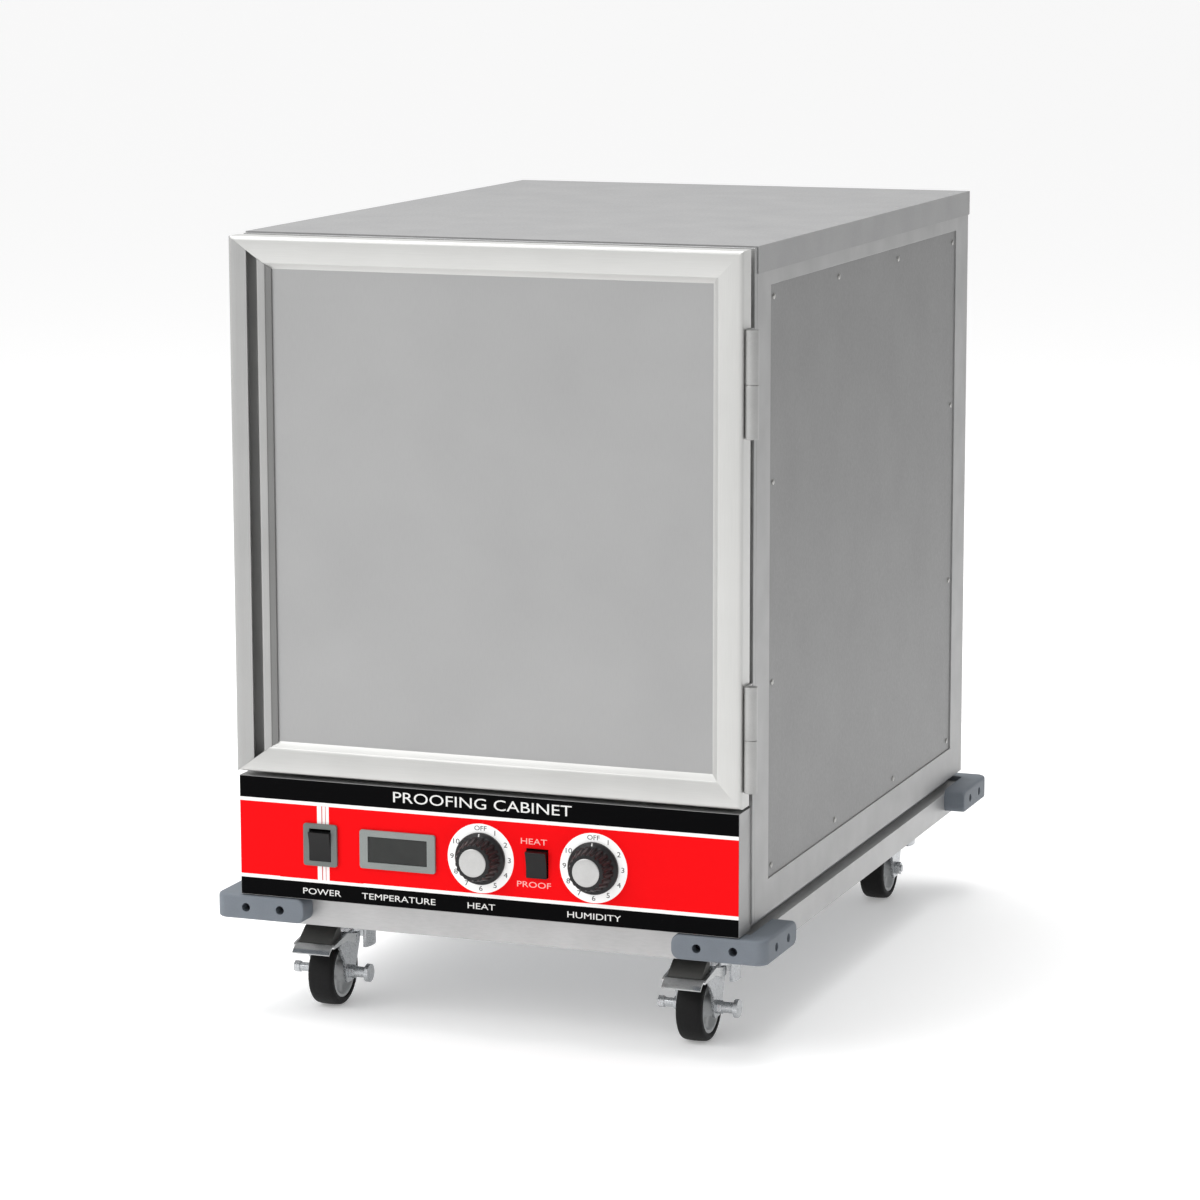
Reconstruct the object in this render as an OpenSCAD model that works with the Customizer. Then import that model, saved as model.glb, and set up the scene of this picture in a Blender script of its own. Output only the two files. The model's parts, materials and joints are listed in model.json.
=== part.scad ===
// Under-counter proofing cabinet for 457 x 660 mm sheet pans.
// Millimetres, +Z up, front faces -Y. The origin is on the floor, at the middle of the
// cabinet's overall box. Inside the modules y is counted from the front plane of the body.

/* [Cabinet] */
// Width over the body's side skins
body_w = 570; // [560:1:600]
// Depth of the body, front frame to back panel
body_d = 800; // [780:1:900]
// Height from the floor to the top of the cap
total_h = 847; // [820:1:960]
// Thickness of the insulated walls
wall_t = 27; // [24:1:27]
// Height of the top cap's side flange
cap_h = 28; // [22:1:34]

/* [Base] */
// Height of the casters, floor to the underside of the base frame
caster_h = 102; // [102:1:110]
// Height of the base frame's rails
rail_h = 28; // [24:1:30]
// How far the base frame stands out in front of the body
base_front = 22; // [18:1:24]
// Length of each bumper arm, from its corner
bumper_arm = 104; // [90:1:120]
// Thickness of the bumpers
bumper_t = 25; // [20:1:26]
// Height of the bumpers
bumper_h = 27; // [22:1:27]

/* [Door] */
// Distance of the door's front face from the body
door_out = 45; // [45:1:48]
// Thickness of the door
door_t = 28; // [26:1:28]
// Height of the door
door_h = 574; // [560:1:576]
// Width of the door's plain rails
rail_w = 34; // [30:1:38]
// Width of the handle stile
handle_w = 46; // [44:1:50]

/* [Control module] */
// Height of the module's front
fascia_h = 131; // [125:1:131]
// Distance that the module reaches in behind the body's front
module_d = 400; // [380:1:420]
// Diameter of the control knobs' skirts
knob_d = 56; // [50:1:60]

/* [Racks] */
// Number of pan levels
levels = 7; // [5:1:7]
// Distance from one pan level to the next
level_step = 70; // [68:1:72]

/* [Casters] */
// Diameter of the wheels
wheel_d = 76; // [74:1:76]
// Width of the wheels' treads
wheel_w = 29; // [26:1:30]
// Distance of the wheel's axle from the swivel axis
trail = 36; // [34:1:36]
// Distance of the swivel axes from the cabinet's middle plane
caster_x = 212; // [200:1:220]

/* [Hidden] */
$fn = 64;

// y of the body's front plane; it centres the overall box on the origin
knob_out = 24.5;
bumper_back = 18;
front_y = -(body_d + bumper_back - door_out - knob_out) / 2;

half_w = body_w / 2;
sheet = 1.5;
skin_t = 4;
jamb_t = 8;
rail_top = caster_h + rail_h;
body_z = rail_top + 12;
skin_top = total_h - sheet;
cavity_x = half_w - wall_t;
floor_z = 292;
cavity_top = total_h - wall_t - 1;
opening_x = 244;
opening_z0 = 299;
opening_z1 = 818;
bay_x = 255;
bay_z0 = 146;
bay_z1 = 262;

inset_y0 = 45;
inset_y1 = body_d - 51;
inset_z0 = total_h - 668;
inset_z1 = total_h - 43;
inset_back = 1.5;
inlet_x = -180;
inlet_z = 210;
pan_hole = [122, 138, 362];

door_z1 = total_h - 1.5;
door_z0 = door_z1 - door_h;
door_back = door_out - door_t;
panel_depth = 20;
hinge_x = half_w + 7.5;
hinge_y = -38;
hinge_r = 7;
hinge_h = 111;
hinge_z = [total_h - 136.5, total_h - 502.5];

fascia_z0 = rail_top + 6;
fascia_z1 = fascia_z0 + fascia_h;
fascia_x = half_w - 2;
control_z = (fascia_z0 + fascia_z1) / 2 - 4;
power_x = -188;
display_x = -98.5;
heat_x = -4;
mode_x = 60;
humidity_x = 123;
rocker_tilt = 8;
rocker_y = 6;
pin_r = 1.5;
tray_x = 250;
tray_z0 = 148;
tray_z1 = 238;
blower_x = -165;
blower_y = 95;

first_level = 320;
ledge_x = 218;
web_x = 244;
rack_y0 = 25;
rack_y1 = 745;

base_x = half_w + 3;
base_y1 = body_d - 7;
bumper_z0 = rail_top - 22;
bumper_bores = [36, 76];
axle_z = wheel_d / 2;
caster_y = [71, 736];
crown_z = caster_h - 22;
brake_pivot = [-24, 74];
gap = 0.3;
pin_gap = 0.05;

screw_hole_r = 1.6;
rivet_r = 3;
screw_ys = [58, 284, 510, 736];
screw_zs = [total_h - 56, total_h - 249, total_h - 460, total_h - 656];

// Children drawn from the body's front plane
module from_front() translate([0, front_y, 0]) children();

// A box from its low corner to its high corner
module block(lo, hi) translate(lo) cube([hi[0] - lo[0], hi[1] - lo[1], hi[2] - lo[2]]);

// The same children on the left and the right
module both_sides() {
    children();
    mirror([1, 0, 0]) children();
}

// A cylinder along +Y, from y to y + length
module rod_y(x, y, z, r, length) translate([x, y, z]) rotate([-90, 0, 0]) cylinder(r = r, h = length);

// A cylinder along +X, from x to x + length
module rod_x(x, y, z, r, length) translate([x, y, z]) rotate([0, 90, 0]) cylinder(r = r, h = length);

// Pan-head screw standing on a plane at the origin, head towards +Z
module screw_head(r = 3.2, h = 1.3) {
    difference() {
        rotate_extrude() polygon([[0, 0], [r, 0], [r, h * 0.5], [r * 0.72, h], [0, h]]);
        translate([-r * 0.6, -0.35, h * 0.45]) cube([r * 1.2, 0.7, h]);
    }
}

// ---- body ----

module top_cap() {
    color("gainsboro") from_front() difference() {
        block([-half_w - 1.2, 0, total_h - cap_h], [half_w + 1.2, body_d + 1.2, total_h]);
        block([-half_w, -1, total_h - cap_h - 1], [half_w, body_d, skin_top]);
        at_rivets() translate([0, 0, -5]) cylinder(r = rivet_r + 0.1, h = 10);
    }
}

// Places of the flush rivets along the cap's side edges
module at_rivets() {
    both_sides() for (y = [74, 300, 526, 752]) translate([half_w - 9, y, total_h]) children();
}

// Border of one side: a plate with a rectangular window for the inset
module side_frame() {
    from_front() difference() {
        block([half_w - skin_t, 0, body_z], [half_w, body_d, skin_top]);
        block([half_w - skin_t - 1, inset_y0, inset_z0], [half_w + 1, inset_y1, inset_z1]);
    }
}

module side_frame_left() color("silver") mirror([1, 0, 0]) side_frame();
module side_frame_right() color("silver") side_frame();

// Sheet inside the border, set back a little from its face
module side_inset() {
    from_front() difference() {
        block([half_w - skin_t, inset_y0, inset_z0], [half_w - inset_back, inset_y1, inset_z1]);
        for (y = screw_ys, z = [screw_zs[0], screw_zs[3]])
            rod_x(half_w - skin_t - 1, y, z, screw_hole_r, skin_t);
        for (y = [screw_ys[0], screw_ys[3]], z = [screw_zs[1], screw_zs[2]])
            rod_x(half_w - skin_t - 1, y, z, screw_hole_r, skin_t);
    }
}

module side_inset_left() color("darkgray") mirror([1, 0, 0]) side_inset();
module side_inset_right() color("darkgray") side_inset();

module back_panel() {
    vents = 9;
    vent_step = 10;
    vent_h = 4;
    color("silver") from_front() difference() {
        block([-half_w + skin_t, body_d - sheet, body_z], [half_w - skin_t, body_d, skin_top]);
        for (z = [170 : vent_step : 170 + (vents - 1) * vent_step])
            block([40, body_d - 5, z], [180, body_d + 1, z + vent_h]);
        rod_y(inlet_x, body_d - 5, inlet_z, 16, 10);
    }
}

// Foam between the liner and the outer skins, one solid per wall
module insulation() {
    foam_x = cavity_x + 1.2;
    foam_back = body_d - wall_t + 1.2;
    color("khaki") from_front() {
        both_sides()
            block([foam_x + 0.1, 0, body_z], [half_w - skin_t - 0.1, body_d - sheet - 0.1, skin_top - 0.1]);
        block([-foam_x, 0, cavity_top + 1.3], [foam_x, body_d - sheet - 0.1, skin_top - 0.1]);
        block([-foam_x, foam_back + 0.1, floor_z + 1], [foam_x, body_d - sheet - 0.1, cavity_top + 1.2]);
        block([-cavity_x + 0.1, module_d + 40, body_z + 0.5], [cavity_x - 0.1, body_d - 40, floor_z - 8]);
    }
}

module liner_sides() {
    color("lightgray") from_front() both_sides()
        block([cavity_x, 0, body_z + 0.5], [cavity_x + 1.2, body_d - wall_t, cavity_top]);
}

module liner_top() {
    color("lightgray") from_front()
        block([-cavity_x - 1.2, 0, cavity_top], [cavity_x + 1.2, body_d - wall_t + 1.2, cavity_top + 1.2]);
}

module liner_back() {
    color("lightgray") from_front()
        block([-cavity_x - 1.2, body_d - wall_t, floor_z],
            [cavity_x + 1.2, body_d - wall_t + 1.2, cavity_top]);
}

// Perforated floor between the pan space and the heat bay, with the water pan's cut-out
module cabinet_floor() {
    slot_l = 60;
    slot_w = 6;
    slot_xs = [-215, -145, -72, 12, 85, 155];
    color("lightgray") from_front() difference() {
        block([-cavity_x, 0, floor_z - sheet], [cavity_x, body_d - wall_t, floor_z]);
        block([-pan_hole[0], pan_hole[1], floor_z - 5], [pan_hole[0], pan_hole[2], floor_z + 5]);
        for (x = slot_xs, y = [40, 56, 72, 88, 400, 416, 432, 448])
            block([x, y, floor_z - 5], [x + slot_l, y + slot_w, floor_z + 5]);
    }
}

// Frame that the door closes against, with the pan opening and the heat module's bay
module front_frame() {
    color("silver") from_front() difference() {
        block([-half_w, -jamb_t, body_z], [half_w, 0, skin_top]);
        block([-opening_x, -jamb_t - 1, opening_z0], [opening_x, 1, opening_z1]);
        block([-bay_x, -jamb_t - 1, bay_z0], [bay_x, 1, bay_z1]);
    }
}

// C-section rails with a cross plate over each pair of casters
module base_frame() {
    wall = 2.5;
    flange = 25;
    color("silver") from_front() {
        difference() {
            block([-base_x, -base_front, caster_h], [base_x, base_y1, rail_top]);
            block([-base_x + flange, -base_front + flange, caster_h - 1],
                [base_x - flange, base_y1 - flange, rail_top + 1]);
            block([-base_x + wall, -base_front + wall, caster_h + wall],
                [base_x - wall, base_y1 - wall, rail_top - wall]);
        }
        for (y = caster_y)
            block([-base_x + flange - 1, y - 55, caster_h], [base_x - flange + 1, y + 55, caster_h + 3]);
    }
}

// Sheet that closes the bottom of the body, the four strips under its edges that make the shadow
// line above the rails, and the two runners for the heat module
module deck_panel() {
    edge_x = half_w - 12;
    y0 = 8;
    y1 = body_d - 20;
    seam = 0.1;
    strip_top = body_z - sheet - seam;
    color("gray") from_front() {
        block([-edge_x, y0, body_z - sheet], [edge_x, y1, body_z]);
        both_sides() block([edge_x - sheet, y0, rail_top], [edge_x, y1, strip_top]);
        for (y = [y0, y1 - sheet])
            block([-edge_x + sheet + seam, y, rail_top], [edge_x - sheet - seam, y + sheet, strip_top]);
        both_sides() block([tray_x - 18, 12, body_z + seam], [tray_x, module_d + 10, tray_z0 - gap]);
    }
}

// L-shaped bumper with rounded ends and two counterbores in each arm, at the right front corner
module bumper() {
    x1 = base_x + bumper_t;
    y0 = -base_front - bumper_t;
    z1 = bumper_z0 + bumper_h;
    zc = bumper_z0 + bumper_h / 2;
    end_r = 9;
    corner_r = 12;
    difference() {
        union() {
            block([x1 - bumper_arm + end_r, y0, bumper_z0], [x1 - corner_r, -base_front - 0.1, z1]);
            block([x1 - bumper_arm, y0, bumper_z0 + end_r], [x1 - corner_r, -base_front - 0.1, z1 - end_r]);
            for (z = [bumper_z0 + end_r, z1 - end_r])
                rod_y(x1 - bumper_arm + end_r, y0, z, end_r, bumper_t - 0.1);
            block([base_x + 0.1, y0 + corner_r, bumper_z0], [x1, y0 + bumper_arm - end_r, z1]);
            block([base_x + 0.1, y0 + corner_r, bumper_z0 + end_r], [x1, y0 + bumper_arm, z1 - end_r]);
            for (z = [bumper_z0 + end_r, z1 - end_r])
                rod_x(base_x + 0.1, y0 + bumper_arm - end_r, z, end_r, bumper_t - 0.1);
            translate([x1 - corner_r, y0 + corner_r, bumper_z0]) cylinder(r = corner_r, h = bumper_h);
        }
        for (d = bumper_bores) {
            rod_y(x1 - d, y0 - 1, zc, 5, 15);
            rod_y(x1 - d, y0 - 1, zc, 2.6, bumper_t + 2);
            rod_x(x1 - 14, y0 + d, zc, 5, 15);
            rod_x(x1 - bumper_t - 1, y0 + d, zc, 2.6, bumper_t + 2);
        }
    }
}

// The right front bumper carried to all four corners of the base frame
module at_corners() {
    mid = (base_y1 - base_front) / 2;
    both_sides() children();
    translate([0, mid, 0]) mirror([0, 1, 0]) translate([0, -mid, 0]) both_sides() children();
}

module corner_bumpers() color("slategray") from_front() at_corners() bumper();

module bumper_screws() {
    x1 = base_x + bumper_t;
    y0 = -base_front - bumper_t;
    zc = bumper_z0 + bumper_h / 2;
    color("dimgray") from_front() at_corners() for (d = bumper_bores) {
        translate([x1 - d, y0 + 13.8, zc]) rotate([90, 0, 0]) screw_head(4.4, 3);
        translate([x1 - 13.8, y0 + d, zc]) rotate([0, 90, 0]) screw_head(4.4, 3);
    }
}

// Screws of the side insets and the cap's rivets
module case_screws() {
    color("lightgray") from_front() both_sides() {
        for (y = screw_ys, z = [screw_zs[0], screw_zs[3]])
            translate([half_w - inset_back, y, z]) rotate([0, 90, 0]) screw_head();
        for (y = [screw_ys[0], screw_ys[3]], z = [screw_zs[1], screw_zs[2]])
            translate([half_w - inset_back, y, z]) rotate([0, 90, 0]) screw_head();
    }
    color("lightgray") from_front() at_rivets() translate([0, 0, -sheet]) cylinder(r = rivet_r, h = sheet);
}

// ---- pan racks ----

// Angle ledges bent from sheet, one for each pan level, on the right wall
module ledges() {
    color("lightgray") from_front() for (i = [0 : levels - 1]) {
        z = first_level + i * level_step;
        block([ledge_x, rack_y0, z], [web_x + sheet, rack_y1, z + sheet]);
        block([web_x, rack_y0, z], [web_x + sheet, rack_y1, z + 20]);
    }
}

module ledges_left() mirror([1, 0, 0]) ledges();
module ledges_right() ledges();

// Uprights between the ledges and the liner
module rack_posts() {
    color("lightgray") from_front() both_sides() for (y = [70, 380, 690])
        block([web_x + sheet, y, first_level - 18], [cavity_x, y + 24, cavity_top - 12]);
}

// ---- door ----

// Section of a plain door rail: x from the outer edge inwards, y from the back to the front
function arc(c, r, a0, a1, n) =
    [for (i = [0 : n]) c + r * [cos(a0 + (a1 - a0) * i / n), sin(a0 + (a1 - a0) * i / n)]];

rail_section = concat([[0, sheet]], arc([4, door_t - 5], 4, 180, 90, 5),
    [[12, door_t], [rail_w - 9, door_t - 0.6], [rail_w, panel_depth + 1], [rail_w, sheet]]);

// Section of the handle stile: an outer lip over a finger channel, and an inner land
handle_section = concat([[0, sheet]], arc([4, door_t - 4], 4, 180, 90, 5),
    [[16.5, door_t], [19, door_t - 1.5], [19, door_t - 4], [8, door_t - 5.5], [6, door_t - 7.5], [6, 7],
    [8, 5], [31, 5], [33, 7], [33, door_t - 4], [35, door_t - 1.6], [handle_w - 5, door_t - 1.6],
    [handle_w, panel_depth + 1], [handle_w, sheet]]);

// Mitre prism of one door rail, as seen from the front, through the whole door's thickness
module mitre(points) {
    translate([0, -door_back + 1, 0]) rotate([90, 0, 0]) linear_extrude(door_t + 4) polygon(points);
}

inner_l = -half_w + handle_w;
inner_r = half_w - rail_w;
inner_b = door_z0 + rail_w;
inner_t = door_z1 - rail_w;

module door_rail_top() {
    color("whitesmoke") from_front() intersection() {
        translate([-half_w, -door_back, door_z1]) rotate([0, 90, 0]) linear_extrude(body_w)
            mirror([0, 1]) polygon(rail_section);
        mitre([[-half_w - 1, door_z1 + 0.7], [-half_w, door_z1], [inner_l, inner_t], [inner_r, inner_t],
            [half_w, door_z1], [half_w + 1, door_z1 + 1]]);
    }
}

module door_rail_bottom() {
    color("whitesmoke") from_front() intersection() {
        translate([-half_w, -door_back, door_z0]) rotate([0, 90, 0]) linear_extrude(body_w)
            mirror([0, 1]) mirror([1, 0]) polygon(rail_section);
        mitre([[-half_w, door_z0], [half_w, door_z0], [inner_r, inner_b], [inner_l, inner_b]]);
    }
}

module door_hinge_stile() {
    color("whitesmoke") from_front() intersection() {
        translate([half_w, -door_back, door_z0]) mirror([1, 0, 0]) linear_extrude(door_h)
            mirror([0, 1]) polygon(rail_section);
        mitre([[half_w, door_z0], [half_w, door_z1], [inner_r, inner_t], [inner_r, inner_b]]);
    }
}

module door_handle_stile() {
    color("whitesmoke") from_front() intersection() {
        translate([-half_w, -door_back, door_z0]) linear_extrude(door_h)
            mirror([0, 1]) polygon(handle_section);
        mitre([[-half_w, door_z0], [inner_l, inner_b], [inner_l, inner_t], [-half_w, door_z1]]);
    }
}

module door_panel_outer() {
    color("silver") from_front()
        block([inner_l, -door_back - panel_depth, inner_b],
            [inner_r, -door_back - panel_depth + 1.2, inner_t]);
}

module door_core() {
    color("khaki") from_front()
        block([inner_l + 0.1, -door_back - panel_depth + 1.3, inner_b + 0.1],
            [inner_r - 0.1, -door_back - sheet - 0.1, inner_t - 0.1]);
}

module door_panel_inner() {
    color("lightgray") from_front()
        block([-half_w + 3, -door_back - sheet, door_z0 + 3], [half_w - 3, -door_back, door_z1 - 3]);
}

// Compression gasket around the back of the door
module door_gasket() {
    out_x = opening_x + 14;
    color("dimgray") from_front() difference() {
        block([-out_x, -door_back, door_z0 + 13.5], [out_x, -jamb_t - gap, door_z1 - 13.5]);
        block([-out_x + 12, -door_back - 1, door_z0 + 25.5], [out_x - 12, -jamb_t + 1, door_z1 - 25.5]);
    }
}

// Lower knuckle, pin and a leaf on the front frame; the door lifts off upwards
module hinge_jamb_leaves() {
    color("silver") from_front() for (z = hinge_z) {
        translate([hinge_x, hinge_y, z - hinge_h / 2]) {
            cylinder(r = hinge_r, h = hinge_h / 2 - 0.15);
            cylinder(r = 3, h = hinge_h - 8);
        }
        block([half_w + 1.5, hinge_y, z - hinge_h / 2], [half_w + 4.5, -jamb_t, z - 0.15]);
        block([half_w - 24, -jamb_t - 2.5, z - hinge_h / 2], [half_w + 4.5, -jamb_t, z - 0.15]);
    }
}

// Upper knuckle on a leaf screwed to the edge of the door
module hinge_door_leaves() {
    color("silver") from_front() for (z = hinge_z) difference() {
        union() {
            translate([hinge_x, hinge_y, z + 0.15]) cylinder(r = hinge_r, h = hinge_h / 2 - 0.15);
            block([half_w + 0.1, hinge_y, z + 0.15], [half_w + 3, -door_back - 2, z + hinge_h / 2]);
        }
        translate([hinge_x, hinge_y, z - 1]) cylinder(r = 3 + pin_gap, h = hinge_h / 2 - 6);
    }
}

// Magnets on the front frame behind the handle stile, and their strikes on the door
module catch_magnets() {
    color("dimgray") from_front() for (z = [door_z0 + 90, door_z1 - 90])
        block([-half_w + 4, -jamb_t - 5, z - 25], [-half_w + 18, -jamb_t, z + 25]);
}

module catch_strikes() {
    color("silver") from_front() for (z = [door_z0 + 90, door_z1 - 90])
        block([-half_w + 5, -door_back, z - 24], [-half_w + 17, -jamb_t - 5 - gap, z + 24]);
}

// ---- control module ----

// Windows through the module's front for the switches, the display and the control shafts
module control_cutouts(depth) {
    y0 = -door_out - 1;
    block([power_x - 15, y0, control_z - 20], [power_x + 15, y0 + depth, control_z + 20]);
    block([display_x - 39, y0, control_z - 17], [display_x + 39, y0 + depth, control_z + 17]);
    block([mode_x - 12.4, y0, control_z - 15.4], [mode_x + 12.4, y0 + depth, control_z + 15.4]);
    for (x = [heat_x, humidity_x])
        rod_y(x, y0, control_z, 4.5, depth);
}

module module_fascia() {
    color("gainsboro") from_front() difference() {
        block([-fascia_x, -door_out + 0.5, fascia_z0], [fascia_x, -jamb_t - gap, fascia_z1]);
        block([-fascia_x + sheet, -door_out + 0.5 + sheet, fascia_z0 + sheet],
            [fascia_x - sheet, 0, fascia_z1 - sheet]);
        control_cutouts(6);
    }
}

// Printed film on the fascia
module control_overlay() {
    color("red") from_front() difference() {
        block([-fascia_x + 0.5, -door_out, fascia_z0 + 0.5],
            [fascia_x - 0.5, -door_out + 0.5, fascia_z1 - 0.5]);
        control_cutouts(6);
    }
}

// Open sheet tray that carries the heating parts and runs on the deck's strips
module module_tray() {
    color("silver") from_front() difference() {
        block([-tray_x, -door_out + 2.1, tray_z0], [tray_x, module_d, tray_z1]);
        block([-tray_x + sheet, -door_out + 1, tray_z0 + sheet],
            [tray_x - sheet, module_d - sheet, tray_z1 + 1]);
        for (x = [-150 : 20 : 130])
            block([x, 330, tray_z0 - 1], [x + 8, 380, tray_z0 + 3]);
    }
}

// Frame of the power switch, its body behind the fascia and the rocker's pin
module power_bezel() {
    y0 = -door_out;
    color("gray") from_front() {
        difference() {
            union() {
                hull() for (x = [-16.5, 16.5], z = [-20, 20])
                    rod_y(power_x + x, y0 - 3, control_z + z, 3, 3);
                block([power_x - 14.8, y0, control_z - 19.8], [power_x + 14.8, y0 + 24, control_z + 19.8]);
            }
            block([power_x - 12.6, y0 - 5, control_z - 17.6], [power_x + 12.6, y0 + 18, control_z + 17.6]);
        }
        rod_x(power_x - 13, y0 + rocker_y, control_z, pin_r, 26);
    }
}

// Rocker with a dished face in its off position, tilted about the pin that it turns on
module rocker(w, h) {
    face = [for (i = [0 : 8]) [-10 - 1.6 * pow((i - 4) / 4, 2), -h / 2 + h * i / 8]];
    rotate([rocker_tilt, 0, 0]) difference() {
        translate([-w / 2, 0, 0]) rotate([90, 0, 90])
            linear_extrude(w) polygon(concat(face, [[4, h / 2], [4, -h / 2]]));
        rod_x(-w, 0, 0, pin_r + pin_gap, 2 * w);
    }
}

module power_rocker() {
    color("black") from_front() translate([power_x, -door_out + rocker_y, control_z]) rocker(24.4, 32);
}

module mode_rocker() {
    color("black") from_front() translate([mode_x, -door_out + rocker_y, control_z]) rocker(23, 28.6);
}

// Body of the mode switch behind the fascia, with its rocker's pin
module mode_switch_case() {
    y0 = -door_out;
    color("dimgray") from_front() {
        difference() {
            block([mode_x - 14.5, y0 + 2.1, control_z - 18], [mode_x + 14.5, y0 + 22, control_z + 18]);
            block([mode_x - 12.1, y0, control_z - 16], [mode_x + 12.1, y0 + 17, control_z + 16]);
        }
        rod_x(mode_x - 12.6, y0 + rocker_y, control_z, pin_r, 25.2);
    }
}

module display_bezel() {
    y0 = -door_out;
    color("gray") from_front() difference() {
        union() {
            hull() for (x = [-40.5, 40.5], z = [-18, 18])
                rod_y(display_x + x, y0 - 3, control_z + z, 3, 3);
            block([display_x - 38.6, y0, control_z - 16.6], [display_x + 38.6, y0 + 30, control_z + 16.6]);
        }
        block([display_x - 34, y0 - 5, control_z - 14], [display_x + 34, y0 + 26, control_z + 14]);
    }
}

module display_window() {
    color("black") from_front()
        block([display_x - 33.9, -door_out - 1.6, control_z - 13.9],
            [display_x + 33.9, -door_out + 1, control_z + 13.9]);
}

// Fluted knob with a skirt and a bright cap, its shaft running through the fascia
module knob(x) {
    flutes = 20;
    y0 = -door_out - 0.6;
    front = -door_out - knob_out + 1;
    length = y0 - front;
    from_front() translate([x, y0, control_z]) rotate([90, 0, 0]) {
        difference() {
            rotate_extrude() polygon([[0, 0], [knob_d / 2, 0], [knob_d / 2, 3], [knob_d / 2 - 1.5, 4.5],
                [24, 5], [20, length - 1.5], [18.5, length], [0, length]]);
            for (i = [0 : flutes - 1]) rotate([0, 0, i * 360 / flutes])
                translate([25.6, 0, 5.6]) cylinder(r = 2.6, h = length);
        }
        translate([0, 0, -12]) cylinder(r = 3, h = 12.5);
        translate([0, 0, length + 0.1]) cylinder(r = 15, h = 0.9);
    }
}

module heat_knob() color("black") knob(heat_x);
module humidity_knob() color("black") knob(humidity_x);

// The two rotary controls behind the fascia
module thermostats() {
    color("dimgray") from_front() for (x = [heat_x, humidity_x]) difference() {
        block([x - 22, -door_out + 2.2, control_z - 22], [x + 22, -door_out + 32, control_z + 22]);
        rod_y(x, -door_out + 1, control_z, 4, 14);
    }
}

// Finned strip heater on two feet
module strip_heater() {
    fins = 16;
    fin_step = 12;
    color("dimgray") from_front() {
        block([-110, 240, 175], [110, 270, 183]);
        for (i = [0 : fins - 1])
            block([-96 + i * fin_step, 232, 168], [-94.5 + i * fin_step, 278, 192]);
        both_sides() block([100, 246, tray_z0 + sheet], [104, 264, 176]);
    }
}

// Round blower case with a raised base for the motor
module blower_housing() {
    r = 62;
    z0 = 160;
    h = 70;
    wall = 2;
    inlet_r = 44;
    color("silver") from_front() translate([blower_x, blower_y, 0]) difference() {
        union() {
            translate([0, 0, z0]) cylinder(r = r, h = h);
            translate([0, 0, tray_z0 + sheet]) cylinder(r = 26, h = 12);
            block([20, -r, z0], [r, 0, z0 + h]);
        }
        translate([0, 0, z0 + wall]) cylinder(r = r - wall, h = h - 2 * wall);
        translate([0, 0, z0 + h - 30]) cylinder(r = inlet_r, h = 40);
        block([20 + wall, -r + wall, z0 + wall], [r + 8, -10, z0 + h - wall]);
    }
    color("silver") from_front() translate([blower_x, blower_y, z0 + 1]) cylinder(r = 4, h = 35);
}

// Wheel with straight blades between a plate and a ring
module blower_wheel() {
    blades = 20;
    wheel_r = 54;
    color("gray") from_front() translate([blower_x, blower_y, 0]) {
        translate([0, 0, 166]) difference() {
            cylinder(r = wheel_r, h = 2);
            translate([0, 0, -1]) cylinder(r = 8, h = 4);
        }
        translate([0, 0, 164]) difference() {
            cylinder(r = 10, h = 30);
            translate([0, 0, -1]) cylinder(r = 4 + pin_gap, h = 32);
        }
        for (i = [0 : blades - 1]) rotate([0, 0, i * 360 / blades])
            translate([42, -0.6, 167]) cube([11, 1.2, 50]);
        translate([0, 0, 216]) difference() {
            cylinder(r = wheel_r, h = 3);
            translate([0, 0, -1]) cylinder(r = 41, h = 5);
        }
    }
}

// Stainless pan that hangs by its rim in the floor's cut-out
module water_pan() {
    out = [pan_hole[0] - 2, pan_hole[1] + 2, pan_hole[2] - 2];
    rim = 10;
    depth = 46;
    color("lightgray") from_front() difference() {
        union() {
            block([-out[0] - rim, out[1] - rim, floor_z + 0.2], [out[0] + rim, out[2] + rim, floor_z + 1.7]);
            block([-out[0], out[1], floor_z - depth], [out[0], out[2], floor_z + 1.7]);
        }
        block([-out[0] + sheet, out[1] + sheet, floor_z - depth + sheet],
            [out[0] - sheet, out[2] - sheet, floor_z + 5]);
    }
}

module power_inlet() {
    color("dimgray") from_front() {
        rod_y(inlet_x, body_d - 30, inlet_z, 15, 31);
        difference() {
            rod_y(inlet_x, body_d + 0.1, inlet_z, 24, 4);
            for (a = [45 : 90 : 315])
                rod_y(inlet_x + 19 * cos(a), body_d - 1, inlet_z + 19 * sin(a), 1.7, 8);
            rod_y(inlet_x, body_d - 1, inlet_z, 12, 8);
        }
    }
}

// ---- casters ----

// Top plate, upper raceway and kingpin of each caster, bolted under the base frame
module caster_plates() {
    color("silver") from_front() both_sides() for (y = caster_y) translate([caster_x, y, 0]) {
        difference() {
            union() {
                block([-35, -50, caster_h - 3], [35, 50, caster_h]);
                translate([0, 0, crown_z + 11]) cylinder(r = 29, h = 8.5);
                translate([0, 0, crown_z - 6]) cylinder(r = 6, h = 18);
            }
            for (x = [-26, 26], b = [-41, 41])
                translate([x, b, caster_h - 5]) cylinder(r = 4, h = 6);
        }
        translate([0, 0, crown_z - 8]) cylinder(r = 9, h = 7.7, $fn = 6);
        for (x = [-26, 26], b = [-41, 41])
            translate([x, b, caster_h - 7.1]) cylinder(r = 6, h = 4, $fn = 6);
    }
}

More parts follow.
